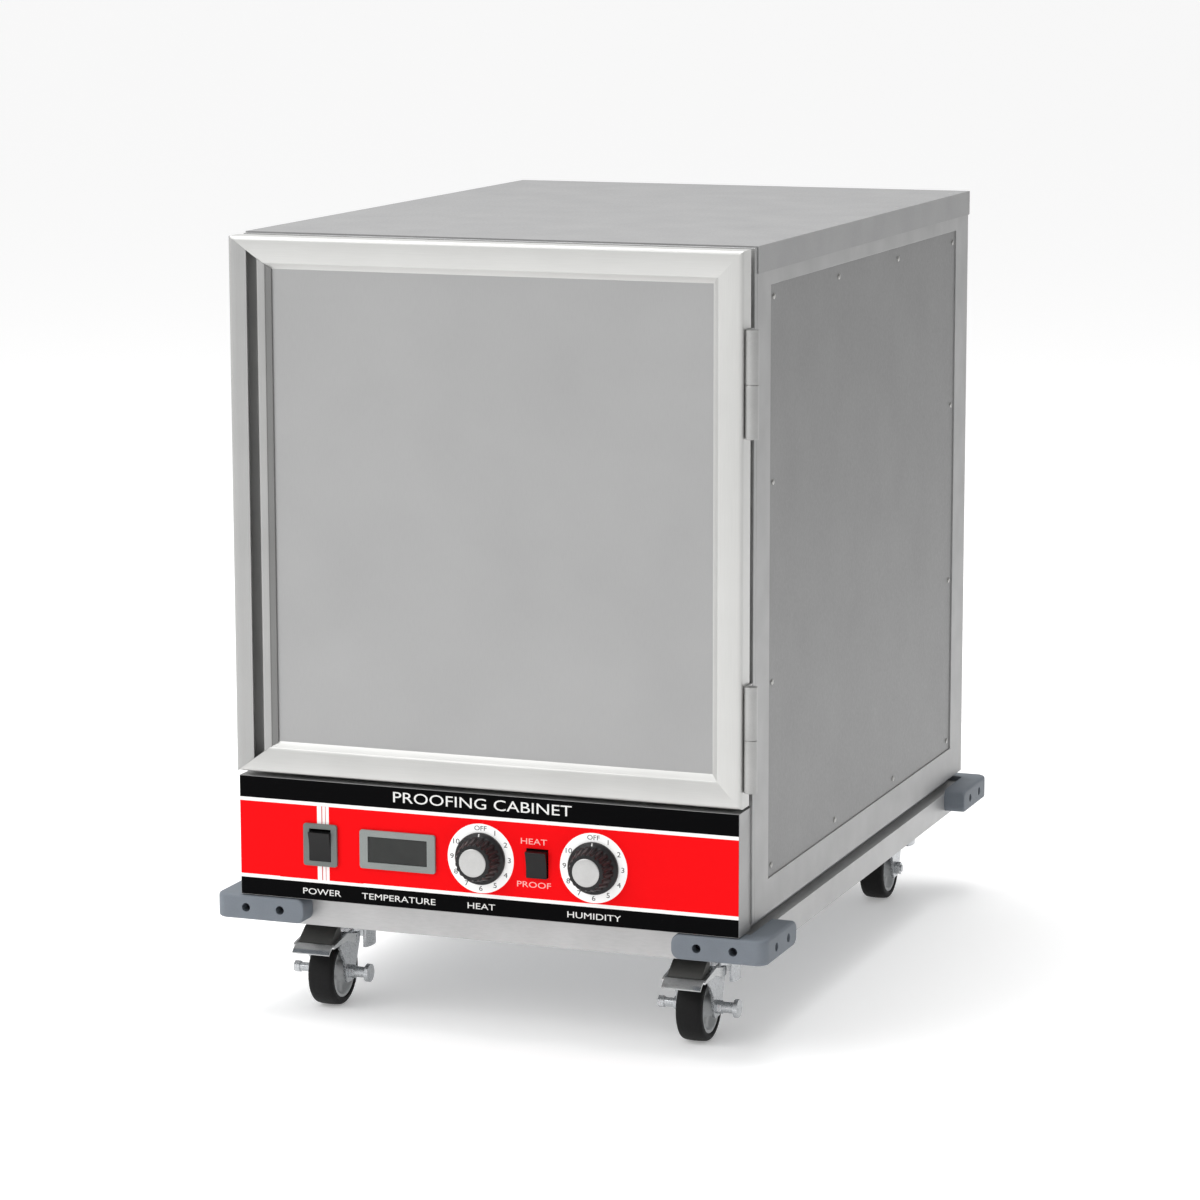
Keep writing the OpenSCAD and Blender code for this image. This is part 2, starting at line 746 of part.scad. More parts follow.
// Swivelling fork: crown with a skirt, two legs and the axle bolt, which is longer on the braked
// casters. The wheel trails to the front.
module fork(braked = false) {
    leg_in = wheel_w / 2 + 3.5;
    leg_t = 3;
    outer = leg_in + leg_t;
    axle_out = braked ? 45 : outer + 8;
    leg = [[-trail - 11, crown_z + 2], [-10, crown_z + 2], [-10, crown_z - 12],
        [-trail + 12, axle_z - 4], [-trail + 8, axle_z - 11], [-trail - 8, axle_z - 11],
        [-trail - 12, axle_z - 4], [-trail - 14, axle_z + 14], [-trail - 28, crown_z - 8.2],
        [-trail - 14, crown_z - 3.2]];
    difference() {
        union() {
            translate([0, 0, crown_z]) cylinder(r = 33, h = 10.7);
            block([-outer, -trail + 6, crown_z], [outer, 0, crown_z + 4]);
            difference() {
                translate([0, 0, crown_z - 20]) cylinder(r = 33, h = 21);
                translate([0, 0, crown_z - 21]) cylinder(r = 30, h = 21);
                block([-40, -40, crown_z - 22], [40, -14, crown_z + 2]);
            }
            for (s = [-1, 1]) translate([s * (leg_in + leg_t / 2) - leg_t / 2, 0, 0])
                rotate([90, 0, 90]) linear_extrude(leg_t) polygon(leg);
            if (braked) for (s = [-1, 1])
                rod_x(s * (outer + 1) - 2.5, brake_pivot[0], brake_pivot[1], 2.4, 5);
        }
        translate([0, 0, crown_z - 20]) cylinder(r = 6 + pin_gap, h = 40);
        rod_x(-40, -trail, axle_z, 4.2, 80);
    }
    rod_x(-axle_out, -trail, axle_z, 4, 2 * axle_out);
    for (s = [-1, 1]) translate([s * (outer + 3.1), -trail, axle_z])
        rotate([0, 90, 0]) cylinder(r = 7.5, h = 6, center = true, $fn = 6);
    if (braked) {
        rod_x(outer + 6, -trail, axle_z, 6, axle_out - outer - 10);
        rod_x(axle_out - 4.5, -trail, axle_z, 10, 4.5);
        rod_x(-axle_out + 7, -trail, axle_z, 5, axle_out - outer - 13);
        translate([-axle_out + 3.5, -trail, axle_z]) rotate([0, 90, 0])
            cylinder(r = 6.5, h = 7, center = true, $fn = 6);
    }
}

// Wheel with a rubber tread around a plastic hub
module wheel() {
    r = wheel_d / 2;
    tread_r = r - 9;
    shoulder = arc([wheel_w / 2 - 5, r - 5], 5, 0, 90, 6);
    other = arc([-wheel_w / 2 + 5, r - 5], 5, 90, 180, 6);
    translate([0, -trail, axle_z]) rotate([0, 90, 0]) {
        rotate_extrude() polygon([
            for (p = concat([[-wheel_w / 2, tread_r + 0.1], [wheel_w / 2, tread_r + 0.1]], shoulder, other))
                [p[1], p[0]]]);
        difference() {
            rotate_extrude() polygon([[0, -17.2], [10, -17.2], [12, -8], [tread_r - 4, -8],
                [tread_r - 3, -wheel_w / 2 + 1], [tread_r, -wheel_w / 2 + 1], [tread_r, wheel_w / 2 - 1],
                [tread_r - 3, wheel_w / 2 - 1], [tread_r - 4, 8], [12, 8], [10, 17.2], [0, 17.2]]);
            translate([0, 0, -20]) cylinder(r = 4 + pin_gap, h = 40);
        }
    }
}

// Brake lever: two side arms and a bent plate with its shoe over the tread, and a rubber foot pad
module brake() {
    arm_in = wheel_w / 2 + 7.2;
    arm_t = 2.4;
    pad_w = 38;
    shoe_w = 22;
    arm = [[-17, 69], [-17, 77.5], [-26, 78.6], [-50, 84], [-84, 78.4], [-86, 76.6], [-86, 74.6],
        [-52, 76], [-30, 69]];
    plate = [[-50, 83.8], [-64, 81.6], [-84, 78.2], [-91, 74], [-95, 70], [-94, 68.6], [-89.6, 72.6],
        [-83, 76.4], [-64, 79.8], [-50, 82]];
    pad = [[-56, 83], [-57, 92], [-60, 94], [-66, 93], [-78, 84.6], [-82, 80], [-81.4, 78.8],
        [-64, 81.75]];
    difference() {
        for (s = [-1, 1]) translate([s * (arm_in + arm_t / 2) - arm_t / 2, 0, 0])
            rotate([90, 0, 90]) linear_extrude(arm_t) polygon(arm);
        rod_x(-40, brake_pivot[0], brake_pivot[1], 2.4 + pin_gap, 80);
    }
    translate([-arm_in, 0, 0]) rotate([90, 0, 90]) linear_extrude(2 * arm_in) polygon(plate);
    block([-shoe_w / 2, -53, 78], [shoe_w / 2, -50.5, 83]);
    translate([-pad_w / 2, 0, 0]) rotate([90, 0, 90]) linear_extrude(pad_w) polygon(pad);
}

module at_caster(side, row) from_front() translate([side * caster_x, caster_y[row], 0]) children();

module fork_front_left() color("silver") at_caster(-1, 0) fork(true);
module fork_front_right() color("silver") at_caster(1, 0) fork(true);
module fork_rear_left() color("silver") at_caster(-1, 1) fork();
module fork_rear_right() color("silver") at_caster(1, 1) fork();
module wheel_front_left() color("dimgray") at_caster(-1, 0) wheel();
module wheel_front_right() color("dimgray") at_caster(1, 0) wheel();
module wheel_rear_left() color("dimgray") at_caster(-1, 1) wheel();
module wheel_rear_right() color("dimgray") at_caster(1, 1) wheel();
module brake_left() color("dimgray") at_caster(-1, 0) brake();
module brake_right() color("dimgray") at_caster(1, 0) brake();

top_cap();
side_frame_left();
side_frame_right();
side_inset_left();
side_inset_right();
back_panel();
insulation();
liner_sides();
liner_top();
liner_back();
cabinet_floor();
front_frame();
base_frame();
deck_panel();
corner_bumpers();
bumper_screws();
case_screws();
ledges_left();
ledges_right();
rack_posts();
hinge_jamb_leaves();
catch_magnets();
power_inlet();
caster_plates();
door_rail_top();
door_rail_bottom();
door_hinge_stile();
door_handle_stile();
door_panel_outer();
door_core();
door_panel_inner();
door_gasket();
hinge_door_leaves();
catch_strikes();
module_fascia();
module_tray();
control_overlay();
power_bezel();
power_rocker();
mode_rocker();
mode_switch_case();
display_bezel();
display_window();
heat_knob();
humidity_knob();
thermostats();
strip_heater();
blower_housing();
blower_wheel();
water_pan();
fork_front_left();
fork_front_right();
fork_rear_left();
fork_rear_right();
wheel_front_left();
wheel_front_right();
wheel_rear_left();
wheel_rear_right();
brake_left();
brake_right();
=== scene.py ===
"""Looks of the proofing cabinet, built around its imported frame."""
import json
import math

import bmesh
import bpy
import numpy as np
from mathutils import Matrix, Vector


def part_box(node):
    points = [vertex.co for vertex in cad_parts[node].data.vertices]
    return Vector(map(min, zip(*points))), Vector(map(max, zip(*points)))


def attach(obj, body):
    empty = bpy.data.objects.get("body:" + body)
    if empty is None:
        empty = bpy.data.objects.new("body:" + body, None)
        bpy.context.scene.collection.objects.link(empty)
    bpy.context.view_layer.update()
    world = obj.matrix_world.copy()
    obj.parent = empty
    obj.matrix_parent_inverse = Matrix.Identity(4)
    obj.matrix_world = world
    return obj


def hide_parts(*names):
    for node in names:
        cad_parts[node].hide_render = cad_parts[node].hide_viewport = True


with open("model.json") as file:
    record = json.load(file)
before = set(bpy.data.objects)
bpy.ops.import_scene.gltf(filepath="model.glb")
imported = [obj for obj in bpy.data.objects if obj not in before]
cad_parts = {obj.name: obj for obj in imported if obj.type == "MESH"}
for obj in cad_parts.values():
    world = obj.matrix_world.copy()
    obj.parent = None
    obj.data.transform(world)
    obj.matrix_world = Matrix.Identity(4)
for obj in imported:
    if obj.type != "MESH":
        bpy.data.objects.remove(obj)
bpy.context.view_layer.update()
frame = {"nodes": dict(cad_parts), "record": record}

mm = 0.001
weld = 0.002 * mm  # points closer than this become one
crisp = 32  # degrees between two faces that read as an edge

# ---- Body: cap, side skins and insets ----
# The body is skinned in thin aluminium sheet, bent on a press brake and riveted or screwed together.
# Its bends have a small radius, and the mill finish is a dull grey with a fine, cloudy grain.


def rgb(code):
    """Linear colour of an sRGB hex code."""
    value = np.array([int(code[i:i + 2], 16) / 255 for i in (1, 3, 5)])
    linear = np.where(value <= 0.04045, value / 12.92, ((value + 0.055) / 1.055) ** 2.4)
    return (*linear, 1.0)


def add(material, kind, values=None, links=None, **settings):
    """Adds one shader node with its settings, socket values and links."""
    made = material.node_tree.nodes.new(kind)
    for key, value in settings.items():
        setattr(made, key, value)
    for key, value in (values or {}).items():
        made.inputs[key].default_value = value
    for key, source in (links or {}).items():
        material.node_tree.links.new(source, made.inputs[key])
    return made


def finish(name, **sockets):
    """New material whose Principled shader takes the uniform values given. Returns it, its shader and its
    coordinates."""
    material = bpy.data.materials.new(name)
    material.use_nodes = True
    shader = material.node_tree.nodes["Principled BSDF"]
    for key, value in sockets.items():
        shader.inputs[key.replace("_", " ")].default_value = value
    return material, shader, add(material, "ShaderNodeTexCoord").outputs["Object"]


def textured(name, light, dark, grain, stretch=(1, 1, 1), clouds=60 * mm, rough=(0.35, 0.5), bump=0.1, **sockets):
    """Finish whose colour drifts between two shades in clouds and a fine grain, with the grain in its roughness and
    height. grain is the grain's size in metres and stretch lengthens it along an axis, as rolling or brushing does."""
    noise_low, noise_high, grain_height = 0.3, 0.7, 0.2 * mm
    material, shader, place = finish(name, **sockets)
    lie = add(material, "ShaderNodeMapping", {"Scale": tuple(1 / s for s in stretch)}, {"Vector": place})
    fine = add(material, "ShaderNodeTexNoise", {"Scale": 1 / grain, "Detail": 3.0, "Roughness": 0.6},
               {"Vector": lie.outputs["Vector"]})
    wide = add(material, "ShaderNodeTexNoise", {"Scale": 1 / clouds, "Detail": 2.0}, {"Vector": place})
    mixed = add(material, "ShaderNodeMix", {"Factor": 0.5}, data_type="FLOAT", clamp_factor=True)
    material.node_tree.links.new(fine.outputs["Fac"], mixed.inputs["A"])
    material.node_tree.links.new(wide.outputs["Fac"], mixed.inputs["B"])
    tone = add(material, "ShaderNodeValToRGB", links={"Fac": mixed.outputs["Result"]})
    tone.color_ramp.elements[0].position, tone.color_ramp.elements[1].position = noise_low, noise_high
    tone.color_ramp.elements[0].color, tone.color_ramp.elements[1].color = rgb(dark), rgb(light)
    gloss = add(material, "ShaderNodeMapRange",
                {"From Min": noise_low, "From Max": noise_high, "To Min": rough[0], "To Max": rough[1]},
                {"Value": fine.outputs["Fac"]})
    height = add(material, "ShaderNodeBump", {"Strength": bump, "Distance": grain_height},
                 {"Height": fine.outputs["Fac"]})
    links = material.node_tree.links
    links.new(tone.outputs["Color"], shader.inputs["Base Color"])
    links.new(gloss.outputs["Result"], shader.inputs["Roughness"])
    links.new(height.outputs["Normal"], shader.inputs["Normal"])
    return material


def show(name, mesh, materials, body, nodes=()):
    """Puts a finished mesh in the scene as a piece that rides on a body and stands for the nodes given."""
    piece = bpy.data.objects.new(name, mesh)
    bpy.context.scene.collection.objects.link(piece)
    for material in materials:
        mesh.materials.append(material)
    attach(piece, body)
    if nodes:
        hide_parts(*nodes)
    return piece


body_of = {node: body for body, nodes in frame["record"]["behaviour"]["bodies"].items() for node in nodes}


def eased(node, material, width=0.6 * mm, segments=2):
    """A node's own shape as one skin, with a small bevel on its edges, as a bend, a tumbled edge or a mould leaves."""
    flat, folded = math.radians(0.5), math.radians(38)
    mesh = bpy.data.meshes.new(node + "_formed")
    skin = bmesh.new()
    skin.from_mesh(frame["nodes"][node].data)
    bmesh.ops.remove_doubles(skin, verts=skin.verts, dist=weld)
    bmesh.ops.dissolve_limit(skin, angle_limit=flat, verts=skin.verts, edges=skin.edges)
    skin.to_mesh(mesh)
    skin.free()
    mesh.materials.clear()
    mesh.shade_smooth()
    mesh.set_sharp_from_angle(angle=math.radians(crisp))
    piece = show(node + "_formed", mesh, [material], body_of[node], [node])
    bevel = piece.modifiers.new("eased edges", "BEVEL")
    bevel.width, bevel.segments, bevel.limit_method, bevel.angle_limit = width, segments, "ANGLE", folded
    bevel.use_clamp_overlap, bevel.harden_normals = True, False
    return piece


# The cap is mill-finish sheet: soft grey with faint clouds, a little streaked along the rolling direction.
cap_sheet = textured("mill_finish_aluminium_cap", "#9C9C9C", "#8E8E8F", 1.6 * mm, (1, 3, 1), Metallic=0.5)
# The borders are a satin sheet, lighter than the insets, so that the recess reads as a separate panel.
frame_sheet = textured("satin_aluminium_border", "#ABABAB", "#969696", 2.2 * mm, (1, 1, 8), 45 * mm, Metallic=0.6)
# The insets are mill-finish sheet with broad clouds, which keep a large flat face from looking painted. Their tone is
# darker than the borders, and darker again as painted shade, since the side and back skins face away from the light.
inset_sheet_painted_shade = textured("mill_finish_aluminium_inset_painted_shade", "#838383", "#797979", 1.8 * mm, (1, 1, 2), 90 * mm, Metallic=0.6)
# Rivets and screws are brighter and smoother than the sheet, so each catches a small light.
screw_steel = textured("passivated_stainless_screws", "#BFBFBC", "#9D9D9B", 0.8 * mm, rough=(0.25, 0.4), Metallic=0.9)
eased("top_cap", cap_sheet, 0.9 * mm, 3)
for side in ("left", "right"):
    eased(f"side_frame_{side}", frame_sheet, 0.5 * mm)
    eased(f"side_inset_{side}", inset_sheet_painted_shade, 0.4 * mm)
eased("back_panel", inset_sheet_painted_shade, 0.3 * mm)
eased("case_screws", screw_steel, 0.25 * mm)

# ---- Insulation and liner ----
# Glass-fibre batts with a crinkled foil facing fill the walls. The liner, the perforated floor and the pan ledges are
# stainless sheet, riveted inside the front frame. The loose water pan sits in the floor.
# The foil facing is a pale, coarse crinkle that shows only at the cut edges.
batt = textured("foil_faced_glass_fibre_batt", "#B9B9B6", "#8F8F8D", 5 * mm, rough=(0.4, 0.7), bump=0.8, Metallic=0.5)
# The liner has a fine directional polish, which gives the inside its soft, streaked shine.
liner_polish = textured("number_four_stainless_liner", "#CFCFCC", "#C6C6C3", 0.9 * mm, (1, 30, 1), rough=(0.26, 0.34),
                        bump=0.04, Metallic=0.9)
# Ledges, posts and pan have the same polish with shorter streaks and a slightly lighter tone.
ledge_polish = textured("number_four_stainless_ledge", "#D4D4D1", "#CBCBC8", 0.9 * mm, (1, 12, 1), rough=(0.26, 0.34),
                        bump=0.04, Metallic=0.85)


def dress(material, *nodes):
    """Gives the carried-over nodes a material."""
    for node in nodes:
        frame["nodes"][node].data.materials.clear()
        frame["nodes"][node].data.materials.append(material)


dress(batt, "insulation", "door_core")
dress(liner_polish, "liner_sides", "liner_top", "liner_back")
eased("cabinet_floor", liner_polish, 0.3 * mm)
for node in ("ledges_left", "ledges_right", "rack_posts", "water_pan"):
    eased(node, ledge_polish, 0.5 * mm)

# ---- Front frame and its fittings ----
# The jamb that the door closes against is one folded aluminium sheet between the side skins. The catches are ferrite
# magnets in a nylon case on the jamb, with steel strikes on the door. The power inlet is a black moulding at the back.
# The magnet case is dull and blue-black, like ferrite.
magnet_case = textured("ferrite_in_nylon", "#33343A", "#202126", 1.5 * mm, rough=(0.45, 0.6))
# Glass-filled nylon is a dull black with a fine pale grain.
black_nylon = textured("glass_filled_black_nylon", "#2A2B2D", "#1B1C1E", 1.2 * mm, rough=(0.4, 0.55))
eased("front_frame", frame_sheet, 0.5 * mm)
eased("catch_magnets", magnet_case, 0.6 * mm)
eased("catch_strikes", screw_steel, 0.4 * mm)
eased("power_inlet", black_nylon, 0.6 * mm)

# ---- Base frame and deck ----
# Bright C-section aluminium rails are welded into a ring under the body. Above them the galvanised deck pan stands
# back, and the gap makes a dark line.
# The rails have a close satin grain and only faint clouds, brighter than the body.
rail_metal = textured("satin_aluminium_rail", "#BEBEBE", "#ADADAD", 1.6 * mm, (6, 6, 1), 50 * mm, Metallic=0.55)
# Galvanised sheet has small clouds of zinc crystals.
deck_zinc = textured("galvanised_deck", "#C6C8CA", "#A9ABAE", 3.5 * mm, clouds=14 * mm, rough=(0.35, 0.55),
                     Metallic=0.7)
eased("base_frame", rail_metal, 0.9 * mm, 3)
eased("deck_panel", deck_zinc, 0.6 * mm)

# ---- Corner bumpers ----
# Each bumper is moulded in blue-grey vinyl: a rounded bar turned round the corner, its ends rounded off, with two
# counterbores in each arm for the screws that hold it to the rails.


def mesh_of(name, *shapes, sharp=crisp):
    """Mesh from shapes, each (points, quads, end faces). Doubles are merged and faces turned outwards. Edges steeper
    than sharp degrees stay crisp."""
    points, faces, first = [], [], 0
    for shape_points, quads, ends in shapes:
        shape_points = np.asarray(shape_points, float).reshape(-1, 3)
        points.append(shape_points)
        faces += (np.asarray(quads, int).reshape(-1, 4) + first).tolist() if len(quads) else []
        faces += [(np.asarray(end, int) + first).tolist() for end in ends]
        first += len(shape_points)
    mesh = bpy.data.meshes.new(name)
    mesh.from_pydata(np.concatenate(points).tolist(), [], faces)
    skin = bmesh.new()
    skin.from_mesh(mesh)
    bmesh.ops.remove_doubles(skin, verts=skin.verts, dist=weld)
    bmesh.ops.recalc_face_normals(skin, faces=skin.faces)
    skin.to_mesh(mesh)
    skin.free()
    mesh.shade_smooth()
    mesh.set_sharp_from_angle(angle=math.radians(sharp))
    return mesh


def skin_of(rows, columns, round_rows=False, round_columns=True):
    """Quads between the neighbours of a grid of points numbered row by row. A round side joins its last to its
    first."""
    row = np.arange(rows if round_rows else rows - 1)
    column = np.arange(columns if round_columns else columns - 1)
    row, column = np.meshgrid(row, column, indexing="ij")
    below, beside = (row + 1) % rows, (column + 1) % columns
    corners = (row * columns + column, row * columns + beside, below * columns + beside, below * columns + column)
    return np.stack(corners, -1).reshape(-1, 4)


def swept(sections):
    """Closed shape from a stack of sections, an array of rows of points: quads between them and a face on each end."""
    rows, columns = sections.shape[:2]
    ends = (np.arange(columns), np.arange(columns) + (rows - 1) * columns)
    return sections.reshape(-1, 3), skin_of(rows, columns), ends


def rounded(corners, radius, steps=5):
    """Outline whose corners are eased: each becomes a curve from radius before it to radius after it, weighted
    (1-t)^2, 2t(1-t) and t^2 between the first point, the corner and the last."""
    corners = np.asarray(corners, float)
    radius = np.broadcast_to(np.asarray(radius, float), len(corners))[:, None]
    before, after = np.roll(corners, 1, 0) - corners, np.roll(corners, -1, 0) - corners
    lengths = np.linalg.norm(before, axis=1)[:, None], np.linalg.norm(after, axis=1)[:, None]
    radius = np.minimum(radius, 0.49 * np.minimum(*lengths))
    first, last = corners + before / lengths[0] * radius, corners + after / lengths[1] * radius
    t = np.linspace(0, 1, steps)[None, :, None]
    curve = (1 - t) ** 2 * first[:, None] + 2 * t * (1 - t) * corners[:, None] + t ** 2 * last[:, None]
    return curve.reshape(-1, 2)


def cut(mesh, *tools):
    """The mesh less the tool shapes, worked out once and kept."""
    block = bpy.data.objects.new("block", mesh)
    drill = bpy.data.objects.new("drill", mesh_of("drill", *tools))
    for made in (block, drill):
        bpy.context.scene.collection.objects.link(made)
    difference = block.modifiers.new("cut", "BOOLEAN")
    difference.operation, difference.solver, difference.object = "DIFFERENCE", "EXACT", drill
    result = bpy.data.meshes.new_from_object(block.evaluated_get(bpy.context.evaluated_depsgraph_get()))
    for made in (block, drill):
        bpy.data.objects.remove(made)
    result.shade_smooth()
    result.set_sharp_from_angle(angle=math.radians(crisp))
    return result


def turned(radius, along, centre, axis, steps=48):
    """Shape turned about an axis: radius and along give its outline, and radius may also vary with the angle as an
    array of steps rows. A point is the centre, plus along times the axis, plus the radius in the turned direction."""
    axis = np.asarray(axis, float)
    side = np.cross(axis, (0, 0, 1) if abs(axis[2]) < 0.9 else (1, 0, 0))
    side /= np.linalg.norm(side)
    up = np.cross(axis, side)
    radius, along = np.broadcast_arrays(np.asarray(radius, float), np.asarray(along, float))
    if radius.ndim == 1:
        radius, along = np.tile(radius, (steps, 1)), np.tile(along, (steps, 1))
    turn = np.linspace(0, 2 * np.pi, len(radius), endpoint=False)[:, None, None]
    points = np.asarray(centre, float) + along[..., None] * axis
    points = points + radius[..., None] * (np.cos(turn) * side + np.sin(turn) * up)
    return points.reshape(-1, 3), skin_of(*radius.shape, round_rows=True, round_columns=False), ()


def mirrored(shape, axis, about=0.0):
    """The same shape on the other side of a plane across one axis."""
    points = np.array(shape[0], float).reshape(-1, 3)
    points[:, axis] = 2 * about - points[:, axis]
    return (points, *shape[1:])


bumper_low, bumper_high = (np.array(c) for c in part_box("corner_bumpers"))
rail_low, rail_high = (np.array(c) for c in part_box("base_frame"))
bumper_mid_y = (bumper_low[1] + bumper_high[1]) / 2
gap, arm_out = 0.1 * mm, 104 * mm
bar = bumper_high[0] - rail_high[0] - gap
arm = arm_out - bar - gap
tall = bumper_high[2] - bumper_low[2]
end_round, edge_round, corner_round, tip_round, back_round = 9 * mm, 4 * mm, 12 * mm, 1.2 * mm, 0.3 * mm
inner_corner = np.array([rail_high[0] + gap, rail_low[1] - gap])

# Stations run along one arm, round the corner and along the other. reach is how far out the bar's face is there.
run = np.concatenate([np.array([0, 0.25, 0.6, 1.2, 2, 3.2, 4.8, 6.8, 9]) * mm, np.linspace(14 * mm, arm, 12)])
turn = np.linspace(0, np.pi / 2, 25)[1:-1]
away = np.concatenate([np.zeros(len(run)), turn, np.full(len(run), np.pi / 2)])
half = bar - corner_round
both = np.cos(away) + np.sin(away)
to_arc = half * both + np.sqrt(np.maximum(corner_round ** 2 - half ** 2 * (2 - both ** 2), 0))
to_flat = bar / np.maximum(np.cos(away), np.sin(away))
reach = np.where(np.minimum(np.sin(away), np.cos(away)) / np.maximum(np.sin(away), np.cos(away)) < half / bar,
                 to_flat, to_arc)
start = np.zeros((len(away), 2))
start[:len(run), 0] = -(arm - run)
start[-len(run):, 1] = (arm - run)[::-1]
start += inner_corner
outward = np.stack([np.sin(away), -np.cos(away)], -1)
from_end = np.concatenate([run, np.full(len(turn), arm), run[::-1]])
inside = np.clip(end_round - from_end, 0, end_round)
half_tall = tall / 2 - (end_round - np.sqrt(end_round ** 2 - inside ** 2))
tuck = tip_round - np.sqrt(tip_round ** 2 - np.clip(tip_round - from_end, 0, tip_round) ** 2)
sections = []
for far, high, base, direction in zip(reach - tuck, half_tall - tuck, start, outward):
    shape = rounded([(0, -high), (far, -high), (far, high), (0, high)],
                    (back_round, edge_round, edge_round, back_round), 7)
    ring = np.zeros((len(shape), 3))
    ring[:, :2] = base + shape[:, :1] * direction
    ring[:, 2] = bumper_low[2] + tall / 2 + shape[:, 1]
    sections.append(ring)
bumper = swept(np.array(sections))
bore, bore_deep, proud, screw_offsets = 4.8 * mm, 13.6 * mm, 5 * mm, (36 * mm, 76 * mm)
bores = [turned([0, bore, bore, 0], [-proud, -proud, bore_deep, bore_deep], centre, axis, 32)
         for offset in screw_offsets
         for centre, axis in (
             ((bumper_high[0] - offset, bumper_low[1], bumper_low[2] + tall / 2), (0, 1, 0)),
             ((bumper_high[0], bumper_low[1] + offset, bumper_low[2] + tall / 2), (-1, 0, 0)))]
right_front = cut(mesh_of("bumper", bumper), *bores)
count = len(right_front.vertices)
vinyl_points = np.empty(count * 3)
right_front.vertices.foreach_get("co", vinyl_points)
vinyl_faces = [tuple(face.vertices) for face in right_front.polygons]
one = (vinyl_points.reshape(-1, 3), (), vinyl_faces)
left_front = mirrored(one, 0)
# Vinyl is matt blue-grey with a moulded grain.
bumper_vinyl = textured("moulded_blue_grey_vinyl", "#727981", "#656C74", 1.3 * mm, clouds=35 * mm, rough=(0.5, 0.62),
                        bump=0.15)
show("vinyl_bumpers", mesh_of("vinyl_bumpers", one, left_front, mirrored(one, 1, bumper_mid_y),
                              mirrored(left_front, 1, bumper_mid_y)),
     [bumper_vinyl], "cabinet", ["corner_bumpers"])
# The screws are blackened, so each counterbore reads as a dark hole with a faint glint at its bottom.
blued_steel = textured("blackened_steel_screws", "#3C404A", "#23262E", 0.7 * mm, rough=(0.3, 0.45), Metallic=0.7)
eased("bumper_screws", blued_steel, 0.3 * mm)

# ---- Door: mitred extrusions round a sheet ----
# Four satin anodised aluminium extrusions meet at mitres round the insulated sheet. The plain rails have a broad,
# slightly crowned face with a bevel down to the sheet. The left stile is the handle: a lip stands over a finger
# channel, and a narrow land runs beside the sheet.
# The anodising is drawn along each rail, so the fine lines change direction at the mitres.
anodised = {
    along: textured(f"satin_anodised_extrusion_{along}", "#C8C8C6", "#BEBEBC", 0.7 * mm, stretch, 80 * mm, (0.3, 0.4),
                    0.05, Metallic=0.5)
    for along, stretch in (("upright", (1, 1, 60)), ("level", (60, 1, 1)))}
door_low = np.array(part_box("door_handle_stile")[0])
door_high = np.array(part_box("door_hinge_stile")[1])
deep = door_high[1] - door_low[1]
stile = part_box("door_panel_outer")[0][0] - door_low[0]
rail = door_high[0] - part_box("door_panel_outer")[1][0]
panel_face = door_high[1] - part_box("door_panel_outer")[0][1]

crown = np.linspace(0, 1, 14)
slope = np.linspace(0, 1, 9)[1:]
back_edge, nose_round, dip, bevel_wide, face_from = 1.5 * mm, 4.5 * mm, 2.6 * mm, 7 * mm, 5 * mm
both_sides = 12 * mm  # what the bevel and the rounded nose take from the width of the face
outer = rounded([(0, both_sides), (0, deep), (both_sides, deep)], nose_round, 8)[8:16]
face = np.stack([face_from + crown * (rail - both_sides), deep - dip * crown ** 2], -1)
bevel_down = np.stack([rail - bevel_wide + slope * bevel_wide,
                       deep - dip - (deep - dip - panel_face) * (1 - np.cos(slope * np.pi / 2)) ** 0.5], -1)
rail_outline = np.concatenate([[(0, back_edge)], outer, face, bevel_down, [(rail, back_edge)]])
# The handle in millimetres, from the door's edge: the lip to 19, the finger channel to 31, then the land to the sheet.
handle_outline = rounded(
    np.array([(0, 1.5), (0, 28), (6, 27.4), (18, 23.8), (19, 25), (19, 23), (8, 21.6), (6, 19.6), (6, 7), (8, 5),
              (29, 5), (31, 7), (31, 24.6), (32, 25.6), (39, 23.2), (40, 22), (46, 20.6), (46, 1.5)]) * mm,
    np.array([0.2, 4.2, 4, 0.6, 0.8, 0.6, 2, 1.5, 2, 1, 1, 2, 0.8, 0.8, 1, 0.6, 1, 0.2]) * mm, 6)


def door_rail(name, outline, corner_a, corner_b, inner_a, inner_b, width, node, material):
    """Extrusion between two mitres. outline is (distance in from the door's edge, height off its back). At distance d
    the rail runs from corner_a + (inner_a - corner_a) d / width to the same for b, so both ends follow their mitre."""
    d, h = outline[:, 0], outline[:, 1]
    rows = []
    for corner, inner in ((corner_a, inner_a), (corner_b, inner_b)):
        place = np.asarray(corner) + (np.asarray(inner) - np.asarray(corner)) * (d / width)[:, None]
        rows.append(np.stack([place[:, 0], door_high[1] - h, place[:, 1]], -1))
    share = np.linspace(0, 1, 3)[:, None, None]
    stack = rows[0][None] * (1 - share) + rows[1][None] * share
    return show(name, mesh_of(name, swept(stack), sharp=40), [material], "door", [node])


low_left, low_right = (door_low[0], door_low[2]), (door_high[0], door_low[2])
high_left, high_right = (door_low[0], door_high[2]), (door_high[0], door_high[2])
in_left, in_right = door_low[0] + stile, door_high[0] - rail
in_low, in_high = door_low[2] + rail, door_high[2] - rail
door_rail("top_rail_extrusion", rail_outline, high_left, high_right, (in_left, in_high), (in_right, in_high), rail,
          "door_rail_top", anodised["level"])
door_rail("bottom_rail_extrusion", rail_outline, low_left, low_right, (in_left, in_low), (in_right, in_low), rail,
          "door_rail_bottom", anodised["level"])
door_rail("hinge_stile_extrusion", rail_outline, low_right, high_right, (in_right, in_low), (in_right, in_high), rail,
          "door_hinge_stile", anodised["upright"])
